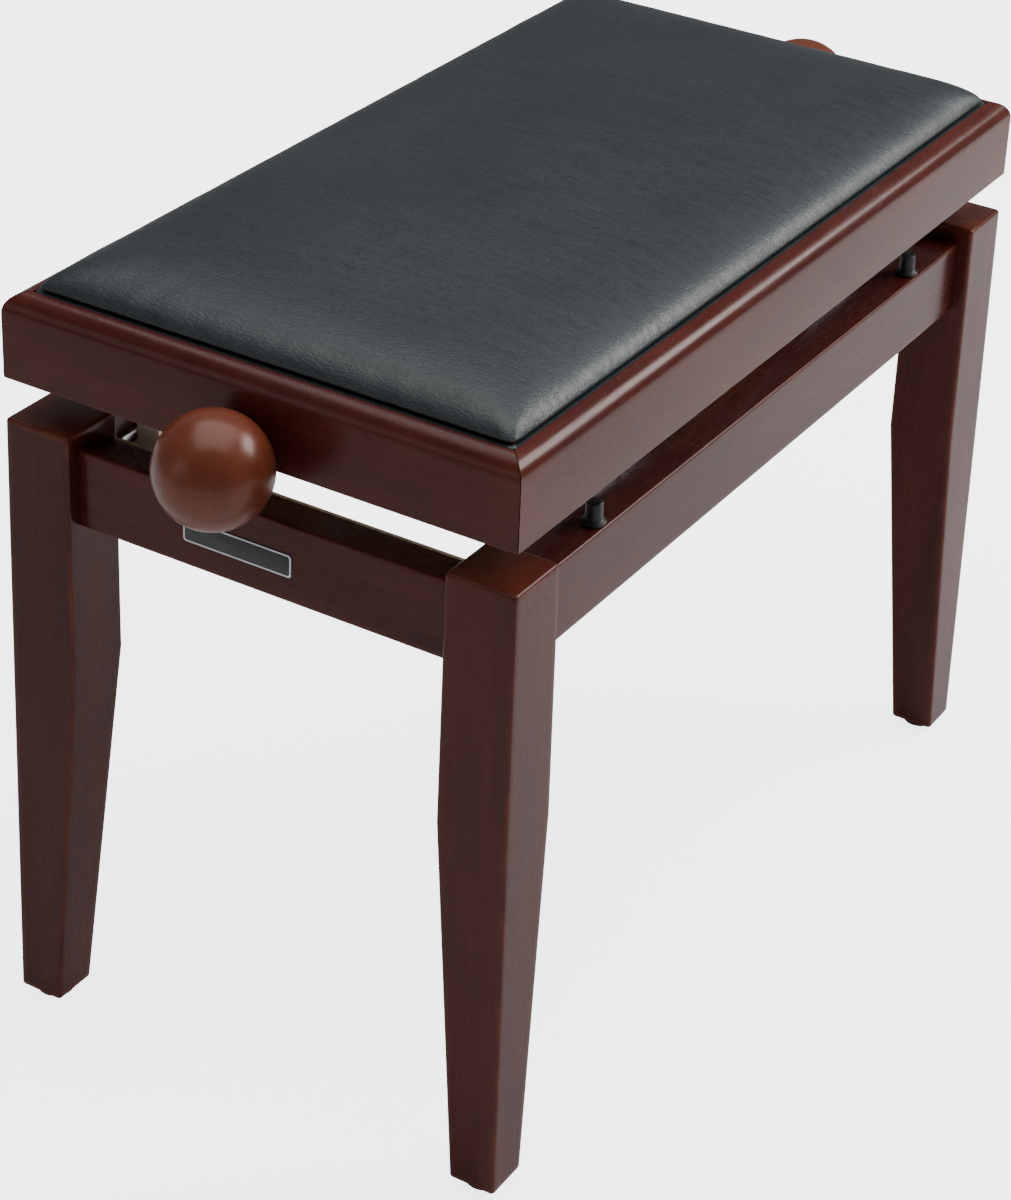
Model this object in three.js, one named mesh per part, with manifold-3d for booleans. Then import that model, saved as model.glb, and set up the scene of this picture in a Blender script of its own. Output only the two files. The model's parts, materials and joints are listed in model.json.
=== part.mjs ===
// Adjustable piano bench: a four-legged wooden base, a padded seat on a mitred frame, and between
// them a pair of steel scissors that a threaded spindle with a ball knob at each end opens and closes.
// Millimetres, +Z up. X runs along the seat and left is -X; front is -Y.
// The origin is on the floor, under the middle of the seat.
import * as THREE from "three";
import { mergeVertices } from "three/addons/utils/BufferGeometryUtils.js";
import Module from "manifold-3d";

const wasm = await Module();
wasm.setup();

// Driving dimensions --------------------------------------------------------------------------

const GAP = 0.3; // between pieces that touch
const ROUND = 20; // sides of a turned piece
const ARC_STEPS = 8; // along each curve of a sheet's outline

const SEAT = {
  length: 550,
  width: 306,
  restGap: 22.5, // under the frame, above the leg tops, as the bench stands
  railHeight: 47.5,
  railThickness: 22,
  edgeRadius: 11,
  lipFlat: 0.3,
  rebateDepth: 6,
  mitreGap: 0.3,
  notchClearance: 1.5, // round the spindle, where it leaves through the end rails
};
const CUSHION = { height: 23, edgeSetIn: 0.4, cornerRadius: 16 };
const LEG = { length: 359, width: 40, foot: 27, straight: 142, splay: 3, setIn: 0, edge: 2 };
const APRON = { height: 44, thickness: 22, recess: 8, drop: 10, edge: 1 };
const GLIDE = { height: 5, radius: 10.5, edge: 1.2 };
const BUMPER = { height: 12.3, radius: 4.5, flangeRadius: 6.5, flangeHeight: 2.2, fromLegs: 57, inset: 7 };

const SHEET = 3; // thickness of the steel rails and bearing plates
const ARM = { width: 20, thickness: 4, between: 3, end: 3, play: 1.7 };
const PIVOT = { aboveFlange: 2, pinRadius: 4, headRadius: 6.5, headHeight: 2, headPlay: 0.4 };
const ROD = { radius: 3, slack: 2.5, overhang: 1 }; // cross rods; slack is the play of the opened pivots
const EYE_SLOT = { inward: 1.9, outward: 4.6, slack: 1 }; // slot round the nut's cross rod
const SLIDE_SLOT = { inward: 6.6, outward: 34.4 }; // travel of the sliding rods in the lower rails
const LOWER_RAIL = { height: 29, aboveApronBottom: 1, flange: 19 };
const END_PLATE = { fromLegs: 8.5, fromArms: 1.5, earSetIn: 15.7, earWidth: 14, earRise: 18, notchRadius: 5 };
const SPINDLE = { radius: 6, aboveFrameBottom: 9.5, intoKnob: 20 };
const KNOB = { radius: 30, flatAt: 28, standOff: 1 };
const NUT = { fromMiddle: 24.65, length: 24, width: 28, height: 28 };
const BEARING = { width: 64 };
const COLLAR = { radius: 11, length: 8, play: 0.4 };

// Levels and places that follow ---------------------------------------------------------------

const legTop = GLIDE.height + LEG.length;
const apronTop = legTop - APRON.drop;
const apronBottom = apronTop - APRON.height;
const frameBottom = legTop + SEAT.restGap;
const frameTop = frameBottom + SEAT.railHeight;
const rebateFloor = frameTop - SEAT.rebateDepth;
const spindleZ = frameBottom + SPINDLE.aboveFrameBottom;
const lowerRailBottom = apronBottom + LOWER_RAIL.aboveApronBottom;
const pivotZ = lowerRailBottom + SHEET + PIVOT.aboveFlange + ARM.width / 2;

const baseHalfX = SEAT.length / 2 - LEG.setIn;
const baseHalfY = SEAT.width / 2 - LEG.setIn;
const legInnerX = baseHalfX - LEG.width;
const legInnerY = baseHalfY - LEG.width;
const apronInnerX = baseHalfX - APRON.recess - APRON.thickness;
const apronInnerY = baseHalfY - APRON.recess - APRON.thickness;
const frameInnerX = SEAT.length / 2 - SEAT.railThickness;
const frameInnerY = SEAT.width / 2 - SEAT.railThickness;
const lipWidth = SEAT.edgeRadius + SEAT.lipFlat;

// Along the bench, inwards from the legs: end plate, arm pivots, nuts
const endPlateIn = legInnerX - END_PLATE.fromLegs - SHEET;
const pivotX = endPlateIn - END_PLATE.fromArms - ARM.width / 2;
const armRun = pivotX - NUT.fromMiddle;
const armLength = Math.hypot(armRun, spindleZ - pivotZ);
const armAngle = Math.atan2(spindleZ - pivotZ, armRun);

// Layers across the width, outwards from the middle: inner arms, outer arms, side rails
const sideRailOut = apronInnerY - GAP;
const sideRailIn = sideRailOut - SHEET;
const outerArmOut = sideRailIn - ARM.play;
const outerArmIn = outerArmOut - ARM.thickness;
const innerArmOut = outerArmIn - ARM.between;
const innerArmIn = innerArmOut - ARM.thickness;

// Finishes ------------------------------------------------------------------------------------

const finish = (color, roughness, metalness) =>
  new THREE.MeshStandardMaterial({ color, roughness, metalness });
const mahogany = () => finish(0x5b2f29, 0.42, 0);
const knobWood = () => finish(0x7c4027, 0.4, 0);
const plywood = () => finish(0xa98760, 0.8, 0);
const leatherette = () => finish(0x2b3436, 0.5, 0);
const rubber = () => finish(0x121314, 0.8, 0);
const zinc = () => finish(0xb9bcbd, 0.35, 1);
const yellowZinc = () => finish(0xb5ab74, 0.4, 1);

// Shape tools ---------------------------------------------------------------------------------

const bench = new THREE.Group();

function add(name, geometry, material, parent = bench) {
  const mesh = new THREE.Mesh(geometry, material);
  mesh.name = name;
  parent.add(mesh);
  return mesh;
}

// A closed skin over rings of points, each ring counter-clockwise seen from the last one's side.
function loft(rings) {
  const count = rings[0].length;
  const faces = [];
  for (let i = 0; i + 1 < rings.length; i++) {
    for (let j = 0; j < count; j++) {
      const a = i * count + j;
      const b = i * count + ((j + 1) % count);
      faces.push(a, b, b + count, a, b + count, a + count);
    }
  }
  const last = (rings.length - 1) * count;
  for (const [a, b, c] of capOf(rings[0])) {
    faces.push(a, c, b, last + a, last + b, last + c);
  }
  const geometry = new THREE.BufferGeometry();
  geometry.setAttribute("position", new THREE.Float32BufferAttribute(rings.flat(2), 3));
  geometry.setIndex(faces);
  geometry.computeVertexNormals();
  return geometry;
}

// Triangles over a flat ring, in the plane of its two widest directions.
function capOf(ring) {
  const across = (k) => Math.max(...ring.map((p) => p[k])) - Math.min(...ring.map((p) => p[k]));
  const flat = across(2) < 1e-6 ? [0, 1] : [1, 2];
  const outline = ring.map((p) => new THREE.Vector2(p[flat[0]], p[flat[1]]));
  return THREE.ShapeUtils.triangulateShape(outline, []);
}

// A rectangle's outline at height z, counter-clockwise from above, with rounded corners.
function roundedRing([x0, x1], [y0, y1], radius, z, steps = 2) {
  const corners = [
    [x1 - radius, y1 - radius, 0],
    [x0 + radius, y1 - radius, 90],
    [x0 + radius, y0 + radius, 180],
    [x1 - radius, y0 + radius, 270],
  ];
  return corners.flatMap(([cx, cy, start]) =>
    Array.from({ length: steps + 1 }, (_, k) => {
      const turn = THREE.MathUtils.degToRad(start + (90 * k) / steps);
      return [cx + radius * Math.cos(turn), cy + radius * Math.sin(turn), z];
    }),
  );
}

// A bar whose upper and lower edges are bevelled.
function bar([x0, x1], [y0, y1], [z0, z1], edge) {
  const ring = (inset, z) => [
    [x0 + inset, y0 + inset, z],
    [x1 - inset, y0 + inset, z],
    [x1 - inset, y1 - inset, z],
    [x0 + inset, y1 - inset, z],
  ];
  return loft([ring(edge, z0), ring(0, z0 + edge), ring(0, z1 - edge), ring(edge, z1)]);
}

function box([x0, x1], [y0, y1], [z0, z1]) {
  const geometry = new THREE.BoxGeometry(x1 - x0, y1 - y0, z1 - z0);
  return geometry.translate((x0 + x1) / 2, (y0 + y1) / 2, (z0 + z1) / 2);
}

const rodAlongY = (radius, y0, y1) =>
  new THREE.CylinderGeometry(radius, radius, y1 - y0, ROUND).translate(0, (y0 + y1) / 2, 0);
const rodAlongX = (radius, x0, x1) => rodAlongY(radius, x0, x1).rotateZ(-Math.PI / 2);
const crossRod = (reach) => rodAlongY(ROD.radius, -reach, reach);

function turned(profile) {
  const points = profile.map(([r, h]) => new THREE.Vector2(r, h));
  return new THREE.LatheGeometry(points, ROUND);
}

// A sheet standing in the XZ plane, from y0 to y0 + thickness; the shape's own y is up.
function sheetAlongX(shape, y0, thickness) {
  const geometry = new THREE.ExtrudeGeometry(shape, {
    depth: thickness,
    bevelEnabled: false,
    curveSegments: ARC_STEPS,
  });
  return geometry.rotateX(Math.PI / 2).translate(0, y0 + thickness, 0);
}

// A sheet standing in the YZ plane, from x0 to x0 + thickness; the shape's own y is up.
function sheetAcross(shape, x0, thickness) {
  const geometry = new THREE.ExtrudeGeometry(shape, {
    depth: thickness,
    bevelEnabled: false,
    curveSegments: ARC_STEPS,
  });
  return geometry.rotateX(Math.PI / 2).rotateZ(Math.PI / 2).translate(x0, 0, 0);
}

function hole(x, z, radius) {
  return new THREE.Path().absarc(x, z, radius, 0, 2 * Math.PI, true);
}

function longHole(x0, x1, z, radius) {
  const path = new THREE.Path();
  path.absarc(x1, z, radius, Math.PI / 2, -Math.PI / 2, true);
  path.absarc(x0, z, radius, -Math.PI / 2, -1.5 * Math.PI, true);
  return path;
}

function solid(geometry) {
  const bare = geometry.clone();
  bare.deleteAttribute("normal");
  bare.deleteAttribute("uv");
  const merged = mergeVertices(bare, 1e-4);
  return new wasm.Manifold(
    new wasm.Mesh({
      numProp: 3,
      vertProperties: new Float32Array(merged.attributes.position.array),
      triVerts: new Uint32Array(merged.index.array),
    }),
  );
}

function surface(body) {
  const mesh = body.getMesh();
  const geometry = new THREE.BufferGeometry();
  geometry.setAttribute("position", new THREE.Float32BufferAttribute(mesh.vertProperties, 3));
  geometry.setIndex(Array.from(mesh.triVerts));
  geometry.computeVertexNormals();
  return geometry;
}

const join = (...parts) => surface(parts.map(solid).reduce((a, b) => a.add(b)));
const cut = (from, ...tools) => surface(tools.map(solid).reduce((a, b) => a.subtract(b), solid(from)));

// The four corners: sign of X, sign of Y, and the words for them
const corners = [-1, 1].flatMap((sx) =>
  [-1, 1].map((sy) => ({
    sx,
    sy,
    words: `${sy < 0 ? "front" : "back"}_${sx < 0 ? "left" : "right"}`,
  })),
);
const span = (sign, inner, outer) => (sign < 0 ? [-outer, -inner] : [inner, outer]);

// Base ----------------------------------------------------------------------------------------

// A leg's outer faces splay out a little; its two inner faces drop straight, then taper.
function leg({ sx, sy, words }) {
  const taperTop = legTop - LEG.straight;
  const section = (z, inset) => {
    const splay = (LEG.splay * (legTop - z)) / LEG.length;
    const share = Math.max(0, (taperTop - z) / (taperTop - GLIDE.height));
    const depth = LEG.width + share * (LEG.foot - LEG.splay - LEG.width);
    const sides = [baseHalfX, baseHalfY].map((half) => [half - depth + inset, half + splay - inset]);
    return roundedRing(span(sx, ...sides[0]), span(sy, ...sides[1]), LEG.edge, z);
  };
  add(
    `leg_${words}`,
    loft([
      section(GLIDE.height, LEG.edge / 2),
      section(GLIDE.height + LEG.edge / 2, 0),
      section(taperTop, 0),
      section(legTop - LEG.edge / 2, 0),
      section(legTop, LEG.edge / 2),
    ]),
    mahogany(),
  );
}

function footMiddle(half) {
  return half + LEG.splay - LEG.foot / 2;
}

function glide({ sx, sy, words }) {
  const top = GLIDE.height - GAP;
  const disc = turned([
    [0, 0],
    [GLIDE.radius - GLIDE.edge, 0],
    [GLIDE.radius, GLIDE.edge],
    [GLIDE.radius, top],
    [0, top],
  ]).rotateX(Math.PI / 2);
  add(`glide_${words}`, disc, rubber()).position.set(
    sx * footMiddle(baseHalfX),
    sy * footMiddle(baseHalfY),
    0,
  );
}

function aprons() {
  const levels = [apronBottom, apronTop];
  const reachX = legInnerX - GAP;
  const reachY = legInnerY - GAP;
  for (const sign of [-1, 1]) {
    const acrossY = span(sign, apronInnerY, apronInnerY + APRON.thickness);
    const acrossX = span(sign, apronInnerX, apronInnerX + APRON.thickness);
    const long = bar([-reachX, reachX], acrossY, levels, APRON.edge);
    const short = bar(acrossX, [-reachY, reachY], levels, APRON.edge);
    add(sign < 0 ? "apron_front" : "apron_back", long, mahogany());
    add(sign < 0 ? "apron_left" : "apron_right", short, mahogany());
  }
}

// A rubber peg on a long apron, on which the seat frame comes to rest at its lowest.
function bumper({ sx, sy, words }) {
  const peg = turned([
    [0, 0],
    [BUMPER.flangeRadius, 0],
    [BUMPER.flangeRadius, BUMPER.flangeHeight],
    [BUMPER.radius, BUMPER.flangeHeight],
    [BUMPER.radius, BUMPER.height],
    [0, BUMPER.height],
  ]).rotateX(Math.PI / 2);
  const y = apronInnerY + APRON.thickness - BUMPER.inset;
  const x = legInnerX - BUMPER.fromLegs;
  add(`bumper_${words}`, peg, rubber()).position.set(sx * x, sy * y, apronTop + GAP);
}

// An angle along the inside of a long apron: two pivot holes, two slots for the sliding rods.
function lowerRail(sign) {
  const x = endPlateIn - GAP;
  const bottom = lowerRailBottom;
  const outline = new THREE.Shape([
    new THREE.Vector2(-x, bottom),
    new THREE.Vector2(x, bottom),
    new THREE.Vector2(x, bottom + LOWER_RAIL.height),
    new THREE.Vector2(-x, bottom + LOWER_RAIL.height),
  ]);
  const slotRadius = ROD.radius + ROD.slack;
  for (const side of [-1, 1]) {
    const travel = span(side, NUT.fromMiddle - SLIDE_SLOT.inward, NUT.fromMiddle + SLIDE_SLOT.outward);
    outline.holes.push(hole(side * pivotX, pivotZ, PIVOT.pinRadius + GAP));
    outline.holes.push(longHole(...travel, pivotZ, slotRadius));
  }
  const web = sheetAlongX(outline, span(sign, sideRailIn, sideRailOut)[0], SHEET);
  const flange = box(
    [-x, x],
    span(sign, sideRailOut - LOWER_RAIL.flange, sideRailOut - SHEET / 2),
    [bottom, bottom + SHEET],
  );
  add(sign < 0 ? "lower_rail_front" : "lower_rail_back", join(web, flange), zinc());
}

// A plate across the bench that joins the lower rails, with a notched ear near one of its ends:
// the back one on the left plate, and the front one on the right plate.
function endPlate(sign, words) {
  const { earSetIn, earWidth, earRise, notchRadius } = END_PLATE;
  const earOuter = sideRailOut - earSetIn;
  const earInner = earOuter - earWidth;
  const bottom = lowerRailBottom;
  const top = bottom + LOWER_RAIL.height;
  const earTop = top + earRise;
  const shape = new THREE.Shape();
  shape.moveTo(-sideRailOut, bottom).lineTo(sideRailOut, bottom).lineTo(sideRailOut, top);
  shape.lineTo(earOuter, top).lineTo(earOuter, earTop);
  shape.absarc((earInner + earOuter) / 2, earTop, notchRadius, 0, -Math.PI, true);
  shape.lineTo(earInner, earTop).lineTo(earInner, top).lineTo(-sideRailOut, top);
  const plate = sheetAcross(shape, -endPlateIn - SHEET, SHEET);
  if (sign > 0) plate.rotateZ(Math.PI);
  add(`lower_end_plate_${words}`, plate, yellowZinc());
}

// A pivot pin along Y with its head towards the middle, for the side that sign gives.
function pivotPin(name, sign, x, z, headOut, end, parent) {
  const pin = turned([
    [0, headOut - PIVOT.headHeight],
    [PIVOT.headRadius, headOut - PIVOT.headHeight],
    [PIVOT.headRadius, headOut],
    [PIVOT.pinRadius, headOut],
    [PIVOT.pinRadius, end],
    [0, end],
  ]);
  const mesh = add(name, pin, zinc(), parent);
  mesh.position.set(x, 0, z);
  mesh.rotation.z = sign < 0 ? Math.PI : 0;
}

function lowerPins({ sx, sy, words }) {
  const headOut = outerArmIn - PIVOT.headPlay;
  pivotPin(`lower_pin_${words}`, sy, sx * pivotX, pivotZ, headOut, sideRailOut, bench);
}

// Seat ----------------------------------------------------------------------------------------

const seat = new THREE.Group();
bench.add(seat);

// A frame rail's section: n runs inwards from its outer face, z upwards.
function railSection() {
  const arc = Array.from({ length: 7 }, (_, k) => {
    const turn = (Math.PI / 2) * (k / 6);
    const r = SEAT.edgeRadius;
    return [r - r * Math.cos(turn), frameTop - r + r * Math.sin(turn)];
  });
  return [
    [0, frameBottom],
    [SEAT.railThickness, frameBottom],
    [SEAT.railThickness, rebateFloor],
    [lipWidth, rebateFloor],
    [lipWidth, frameTop],
    ...arc.reverse(),
  ];
}

// A rail along X whose outer face is halfWidth in front of the middle, mitred at both ends.
function mitredRail(length, halfWidth) {
  const end = (sign) =>
    railSection().map(([n, z]) => [sign * (length / 2 - n - SEAT.mitreGap), n - halfWidth, z]);
  return loft([end(-1), end(1)]);
}

// A notch open at the bottom, through which the spindle leaves and can be dropped in.
function spindleNotch(halfLength) {
  const r = SPINDLE.radius + SEAT.notchClearance;
  const through = [-halfLength - 1, -halfLength + SEAT.railThickness + 1];
  const slot = box([-r, r], through, [frameBottom - 1, spindleZ]);
  return [slot, rodAlongY(r, ...through).translate(0, 0, spindleZ)];
}

function seatFrame() {
  const turns = { front: 0, left: -Math.PI / 2, right: Math.PI / 2, back: Math.PI };
  for (const [words, turn] of Object.entries(turns)) {
    const isEnd = words === "left" || words === "right";
    const rail = isEnd
      ? cut(mitredRail(SEAT.width, SEAT.length / 2), ...spindleNotch(SEAT.length / 2))
      : mitredRail(SEAT.length, SEAT.width / 2);
    add(`seat_rail_${words}`, rail, mahogany(), seat).rotation.z = turn;
  }
}

// The padding on its board: a pillow-like body whose sides bulge and whose top is crowned.
function cushion() {
  const x = SEAT.length / 2 - lipWidth - GAP;
  const y = SEAT.width / 2 - lipWidth - GAP;
  add("cushion_board", box([-x, x], [-y, y], [rebateFloor + GAP, frameTop]), plywood(), seat);
  const bottom = frameTop + GAP;
  const rings = [
    [0.0, 3],
    [0.18, 0.6],
    [0.4, 0],
    [0.62, 2.5],
    [0.8, 8],
    [0.92, 20],
    [1.0, 46],
  ].map(([rise, inset]) => {
    const back = inset + CUSHION.edgeSetIn;
    return roundedRing(
      [-x + back, x - back],
      [-y + back, y - back],
      CUSHION.cornerRadius,
      bottom + rise * CUSHION.height,
      4,
    );
  });
  add("cushion", loft(rings), leatherette(), seat);
}

// An angle under the board along a long side, carrying the inner arms' pivots.
function upperRail(sign) {
  const x = frameInnerX - GAP;
  const top = rebateFloor;
  const plate = new THREE.Shape([
    new THREE.Vector2(-x, frameBottom),
    new THREE.Vector2(x, frameBottom),
    new THREE.Vector2(x, top),
    new THREE.Vector2(-x, top),
  ]);
  for (const side of [-1, 1]) {
    plate.holes.push(hole(side * pivotX, spindleZ, PIVOT.pinRadius + GAP));
  }
  const web = sheetAlongX(plate, span(sign, sideRailIn, sideRailOut)[0], SHEET);
  const flange = box(
    [-x, x],
    span(sign, sideRailIn + SHEET / 2, frameInnerY - GAP),
    [top - SHEET, top],
  );
  add(sign < 0 ? "upper_rail_front" : "upper_rail_back", join(web, flange), zinc(), seat);
}

function upperPins({ sx, sy, words }) {
  const headOut = innerArmIn - PIVOT.headPlay;
  const end = sideRailOut + PIVOT.headHeight;
  pivotPin(`upper_pin_${words}`, sy, sx * pivotX, spindleZ, headOut, end, seat);
}

const bearingOut = frameInnerX - GAP;

// The plate inside an end rail in which the spindle turns.
function bearingPlate(sign, words) {
  const outer = box(
    span(sign, bearingOut - SHEET, bearingOut),
    [-BEARING.width / 2, BEARING.width / 2],
    [frameBottom, rebateFloor],
  );
  const bore = rodAlongX(SPINDLE.radius + GAP, -SHEET, SHEET);
  bore.translate(sign * (bearingOut - SHEET / 2), 0, spindleZ);
  add(`bearing_plate_${words}`, cut(outer, bore), zinc(), seat);
}

// Spindle -------------------------------------------------------------------------------------

const knobFlatX = SEAT.length / 2 + KNOB.standOff;

function spindle() {
  const reach = knobFlatX + SPINDLE.intoKnob;
  add("spindle_rod", rodAlongX(SPINDLE.radius, -reach, reach), zinc(), seat).position.z = spindleZ;
}

// A turned ball with a flat where it faces the seat and a blind bore for the spindle.
function knob(sign, words) {
  const bore = SPINDLE.radius + GAP;
  const bottom = SPINDLE.intoKnob + GAP - KNOB.flatAt;
  const start = Math.asin(-KNOB.flatAt / KNOB.radius);
  const ball = Array.from({ length: 13 }, (_, k) => {
    const turn = start + ((Math.PI / 2 - start) * k) / 12;
    return [k === 12 ? 0 : KNOB.radius * Math.cos(turn), KNOB.radius * Math.sin(turn)];
  });
  const shape = turned([[0, bottom], [bore, bottom], [bore, -KNOB.flatAt], ...ball]);
  shape.rotateZ(-sign * (Math.PI / 2));
  add(`knob_${words}`, shape, knobWood(), seat).position.set(
    sign * (knobFlatX + KNOB.flatAt),
    0,
    spindleZ,
  );
}

// A ring fixed on the spindle inside a bearing plate, which keeps the spindle from sliding.
function collar(sign, words) {
  const outer = bearingOut - SHEET - COLLAR.play;
  const ring = cut(
    rodAlongX(COLLAR.radius, ...span(sign, outer - COLLAR.length, outer)),
    rodAlongX(SPINDLE.radius + GAP, ...span(sign, outer - COLLAR.length - 1, outer + 1)),
  );
  add(`collar_${words}`, ring, zinc(), seat).position.z = spindleZ;
}

// A block on the thread with a cross rod on which the outer arms hang.
function trunnionNut(sign, words) {
  const half = [NUT.length / 2, NUT.width / 2, NUT.height / 2];
  const [blockX, blockY, blockZ] = half.map((h) => [-h, h]);
  const shaft = crossRod(outerArmOut + ROD.overhang);
  const body = join(box(blockX, blockY, blockZ), shaft);
  const bore = rodAlongX(SPINDLE.radius + GAP, -NUT.length, NUT.length);
  add(`trunnion_nut_${words}`, cut(body, bore), zinc(), seat).position.set(
    sign * NUT.fromMiddle,
    0,
    spindleZ,
  );
}

// Scissors ------------------------------------------------------------------------------------

// An arm from its pivot at the local origin along +X: pivot hole, middle hole and end opening.
function armOutline(middleHole, reach, endOpening) {
  const r = ARM.width / 2;
  const shape = new THREE.Shape();
  shape.absarc(0, 0, r, Math.PI / 2, 1.5 * Math.PI, false);
  shape.absarc(reach, 0, r, -Math.PI / 2, Math.PI / 2, false);
  shape.holes.push(hole(0, 0, PIVOT.pinRadius + GAP), hole(armLength / 2, 0, middleHole), endOpening);
  return shape;
}

const outerArmShape = () => {
  const at = [armLength - EYE_SLOT.inward, armLength + EYE_SLOT.outward];
  const slot = longHole(...at, 0, ROD.radius + EYE_SLOT.slack);
  return armOutline(ROD.radius + GAP, armLength + ARM.end, slot);
};
const innerArmShape = () =>
  armOutline(ROD.radius + ROD.slack, armLength, hole(armLength, 0, ROD.radius + GAP));

// The scissors of one end, built for the left; the right ones are the same turned round.
// Outer arms rise from the base to the nut, inner arms fall from the seat to the sliding rod.
function scissors(side) {
  const group = new THREE.Group();
  group.rotation.z = side === "right" ? Math.PI : 0;
  bench.add(group);
  for (const sign of [-1, 1]) {
    const isFront = sign < 0 !== (side === "right");
    const words = `${isFront ? "front" : "back"}_${side}`;
    const outer = sheetAlongX(outerArmShape(), span(sign, outerArmIn, outerArmOut)[0], ARM.thickness);
    const inner = sheetAlongX(innerArmShape(), span(sign, innerArmIn, innerArmOut)[0], ARM.thickness);
    const rising = add(`outer_arm_${words}`, outer, zinc(), group);
    rising.position.set(-pivotX, 0, pivotZ);
    rising.rotation.y = -armAngle;
    const falling = add(`inner_arm_${words}`, inner, zinc(), group);
    falling.position.set(-pivotX, 0, spindleZ);
    falling.rotation.y = armAngle;
  }
  add(`centre_rod_${side}`, crossRod(outerArmOut + ROD.overhang), zinc(), group).position.set(
    armRun / 2 - pivotX,
    0,
    (pivotZ + spindleZ) / 2,
  );
  const slider = add(`slider_rod_${side}`, crossRod(sideRailOut - GAP), zinc(), group);
  slider.position.set(-NUT.fromMiddle, 0, pivotZ);
}

// Assembly ------------------------------------------------------------------------------------

for (const corner of corners) {
  leg(corner);
  glide(corner);
  bumper(corner);
  lowerPins(corner);
  upperPins(corner);
}
aprons();
seatFrame();
cushion();
spindle();
for (const sign of [-1, 1]) {
  const words = sign < 0 ? "left" : "right";
  lowerRail(sign);
  upperRail(sign);
  endPlate(sign, words);
  bearingPlate(sign, words);
  knob(sign, words);
  collar(sign, words);
  trunnionNut(sign, words);
  scissors(words);
}

export default bench;
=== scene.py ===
"""Looks of an adjustable piano bench: wooden base and seat frame, padded seat, steel lift.

Lengths are metres and +Z is up. X runs along the seat, and the front is -Y. Places come from
the boxes of the frame's nodes, and sizes that a box doesn't give are fields of the classes.
"""

import json
import logging
from dataclasses import dataclass, field
from enum import Enum
from typing import Any, Sequence

import bmesh
import bpy
import numpy as np
from mathutils import Matrix, Vector

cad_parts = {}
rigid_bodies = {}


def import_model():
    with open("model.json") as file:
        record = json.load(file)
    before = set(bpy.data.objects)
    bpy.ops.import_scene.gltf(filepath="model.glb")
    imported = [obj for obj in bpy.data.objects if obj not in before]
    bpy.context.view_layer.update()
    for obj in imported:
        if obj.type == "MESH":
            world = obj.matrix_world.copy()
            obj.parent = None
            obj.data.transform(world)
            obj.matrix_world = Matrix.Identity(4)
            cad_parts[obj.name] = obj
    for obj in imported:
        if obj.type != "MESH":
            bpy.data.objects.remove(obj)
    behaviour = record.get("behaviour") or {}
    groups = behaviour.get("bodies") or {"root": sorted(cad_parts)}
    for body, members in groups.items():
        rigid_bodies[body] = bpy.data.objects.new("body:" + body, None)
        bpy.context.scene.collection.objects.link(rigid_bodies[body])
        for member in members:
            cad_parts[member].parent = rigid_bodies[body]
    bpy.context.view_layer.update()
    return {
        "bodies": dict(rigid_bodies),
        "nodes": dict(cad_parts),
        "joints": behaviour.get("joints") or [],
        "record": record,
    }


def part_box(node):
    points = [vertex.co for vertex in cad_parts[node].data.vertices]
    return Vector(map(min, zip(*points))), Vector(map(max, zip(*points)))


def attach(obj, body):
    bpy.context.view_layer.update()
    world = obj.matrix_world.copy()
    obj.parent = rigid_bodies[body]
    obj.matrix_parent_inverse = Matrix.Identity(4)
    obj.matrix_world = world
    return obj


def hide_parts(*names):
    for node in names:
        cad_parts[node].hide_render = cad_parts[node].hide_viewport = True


log = logging.getLogger("bench")

MM = 0.001
TURN = 2 * np.pi
# Sides of a turned piece, and the angle in degrees over which an edge stays crisp.
ROUND_STEPS = 48
SHARP = 40.0
# Attributes that the meshes carry: rubbed edges, how tight the cover is, and the way round it.
WEAR = "wear"
PULL = "pull"
PUCKER = "pucker"
X_AXIS = np.array([1.0, 0.0, 0.0])
Y_AXIS = np.array([0.0, 1.0, 0.0])
Z_AXIS = np.array([0.0, 0.0, 1.0])
ENDS = ("left", "right")
SIDES = ("front", "back")
CORNERS = tuple(f"{side}_{end}" for side in SIDES for end in ENDS)

Array = np.ndarray
Piece = bpy.types.Object
Node = bpy.types.Node
Socket = bpy.types.NodeSocket
Colour = tuple[float, float, float]


# Mesh tools ---------------------------------------------------------------------------------


@dataclass(frozen=True)
class Extent:
    """A node's box at rest: its lowest and highest corners."""

    low: Array
    high: Array

    @staticmethod
    def of(node: str) -> "Extent":
        """The box of the frame's node of that name."""
        low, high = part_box(node)
        return Extent(np.array(low), np.array(high))

    @property
    def centre(self) -> Array:
        """The middle of the box."""
        return (self.low + self.high) / 2

    @property
    def size(self) -> Array:
        """The box's three lengths."""
        return self.high - self.low

    def sign(self, axis: int) -> float:
        """-1 or 1, for the side of the middle on which the box lies along an axis."""
        return -1.0 if self.centre[axis] < 0 else 1.0


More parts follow.
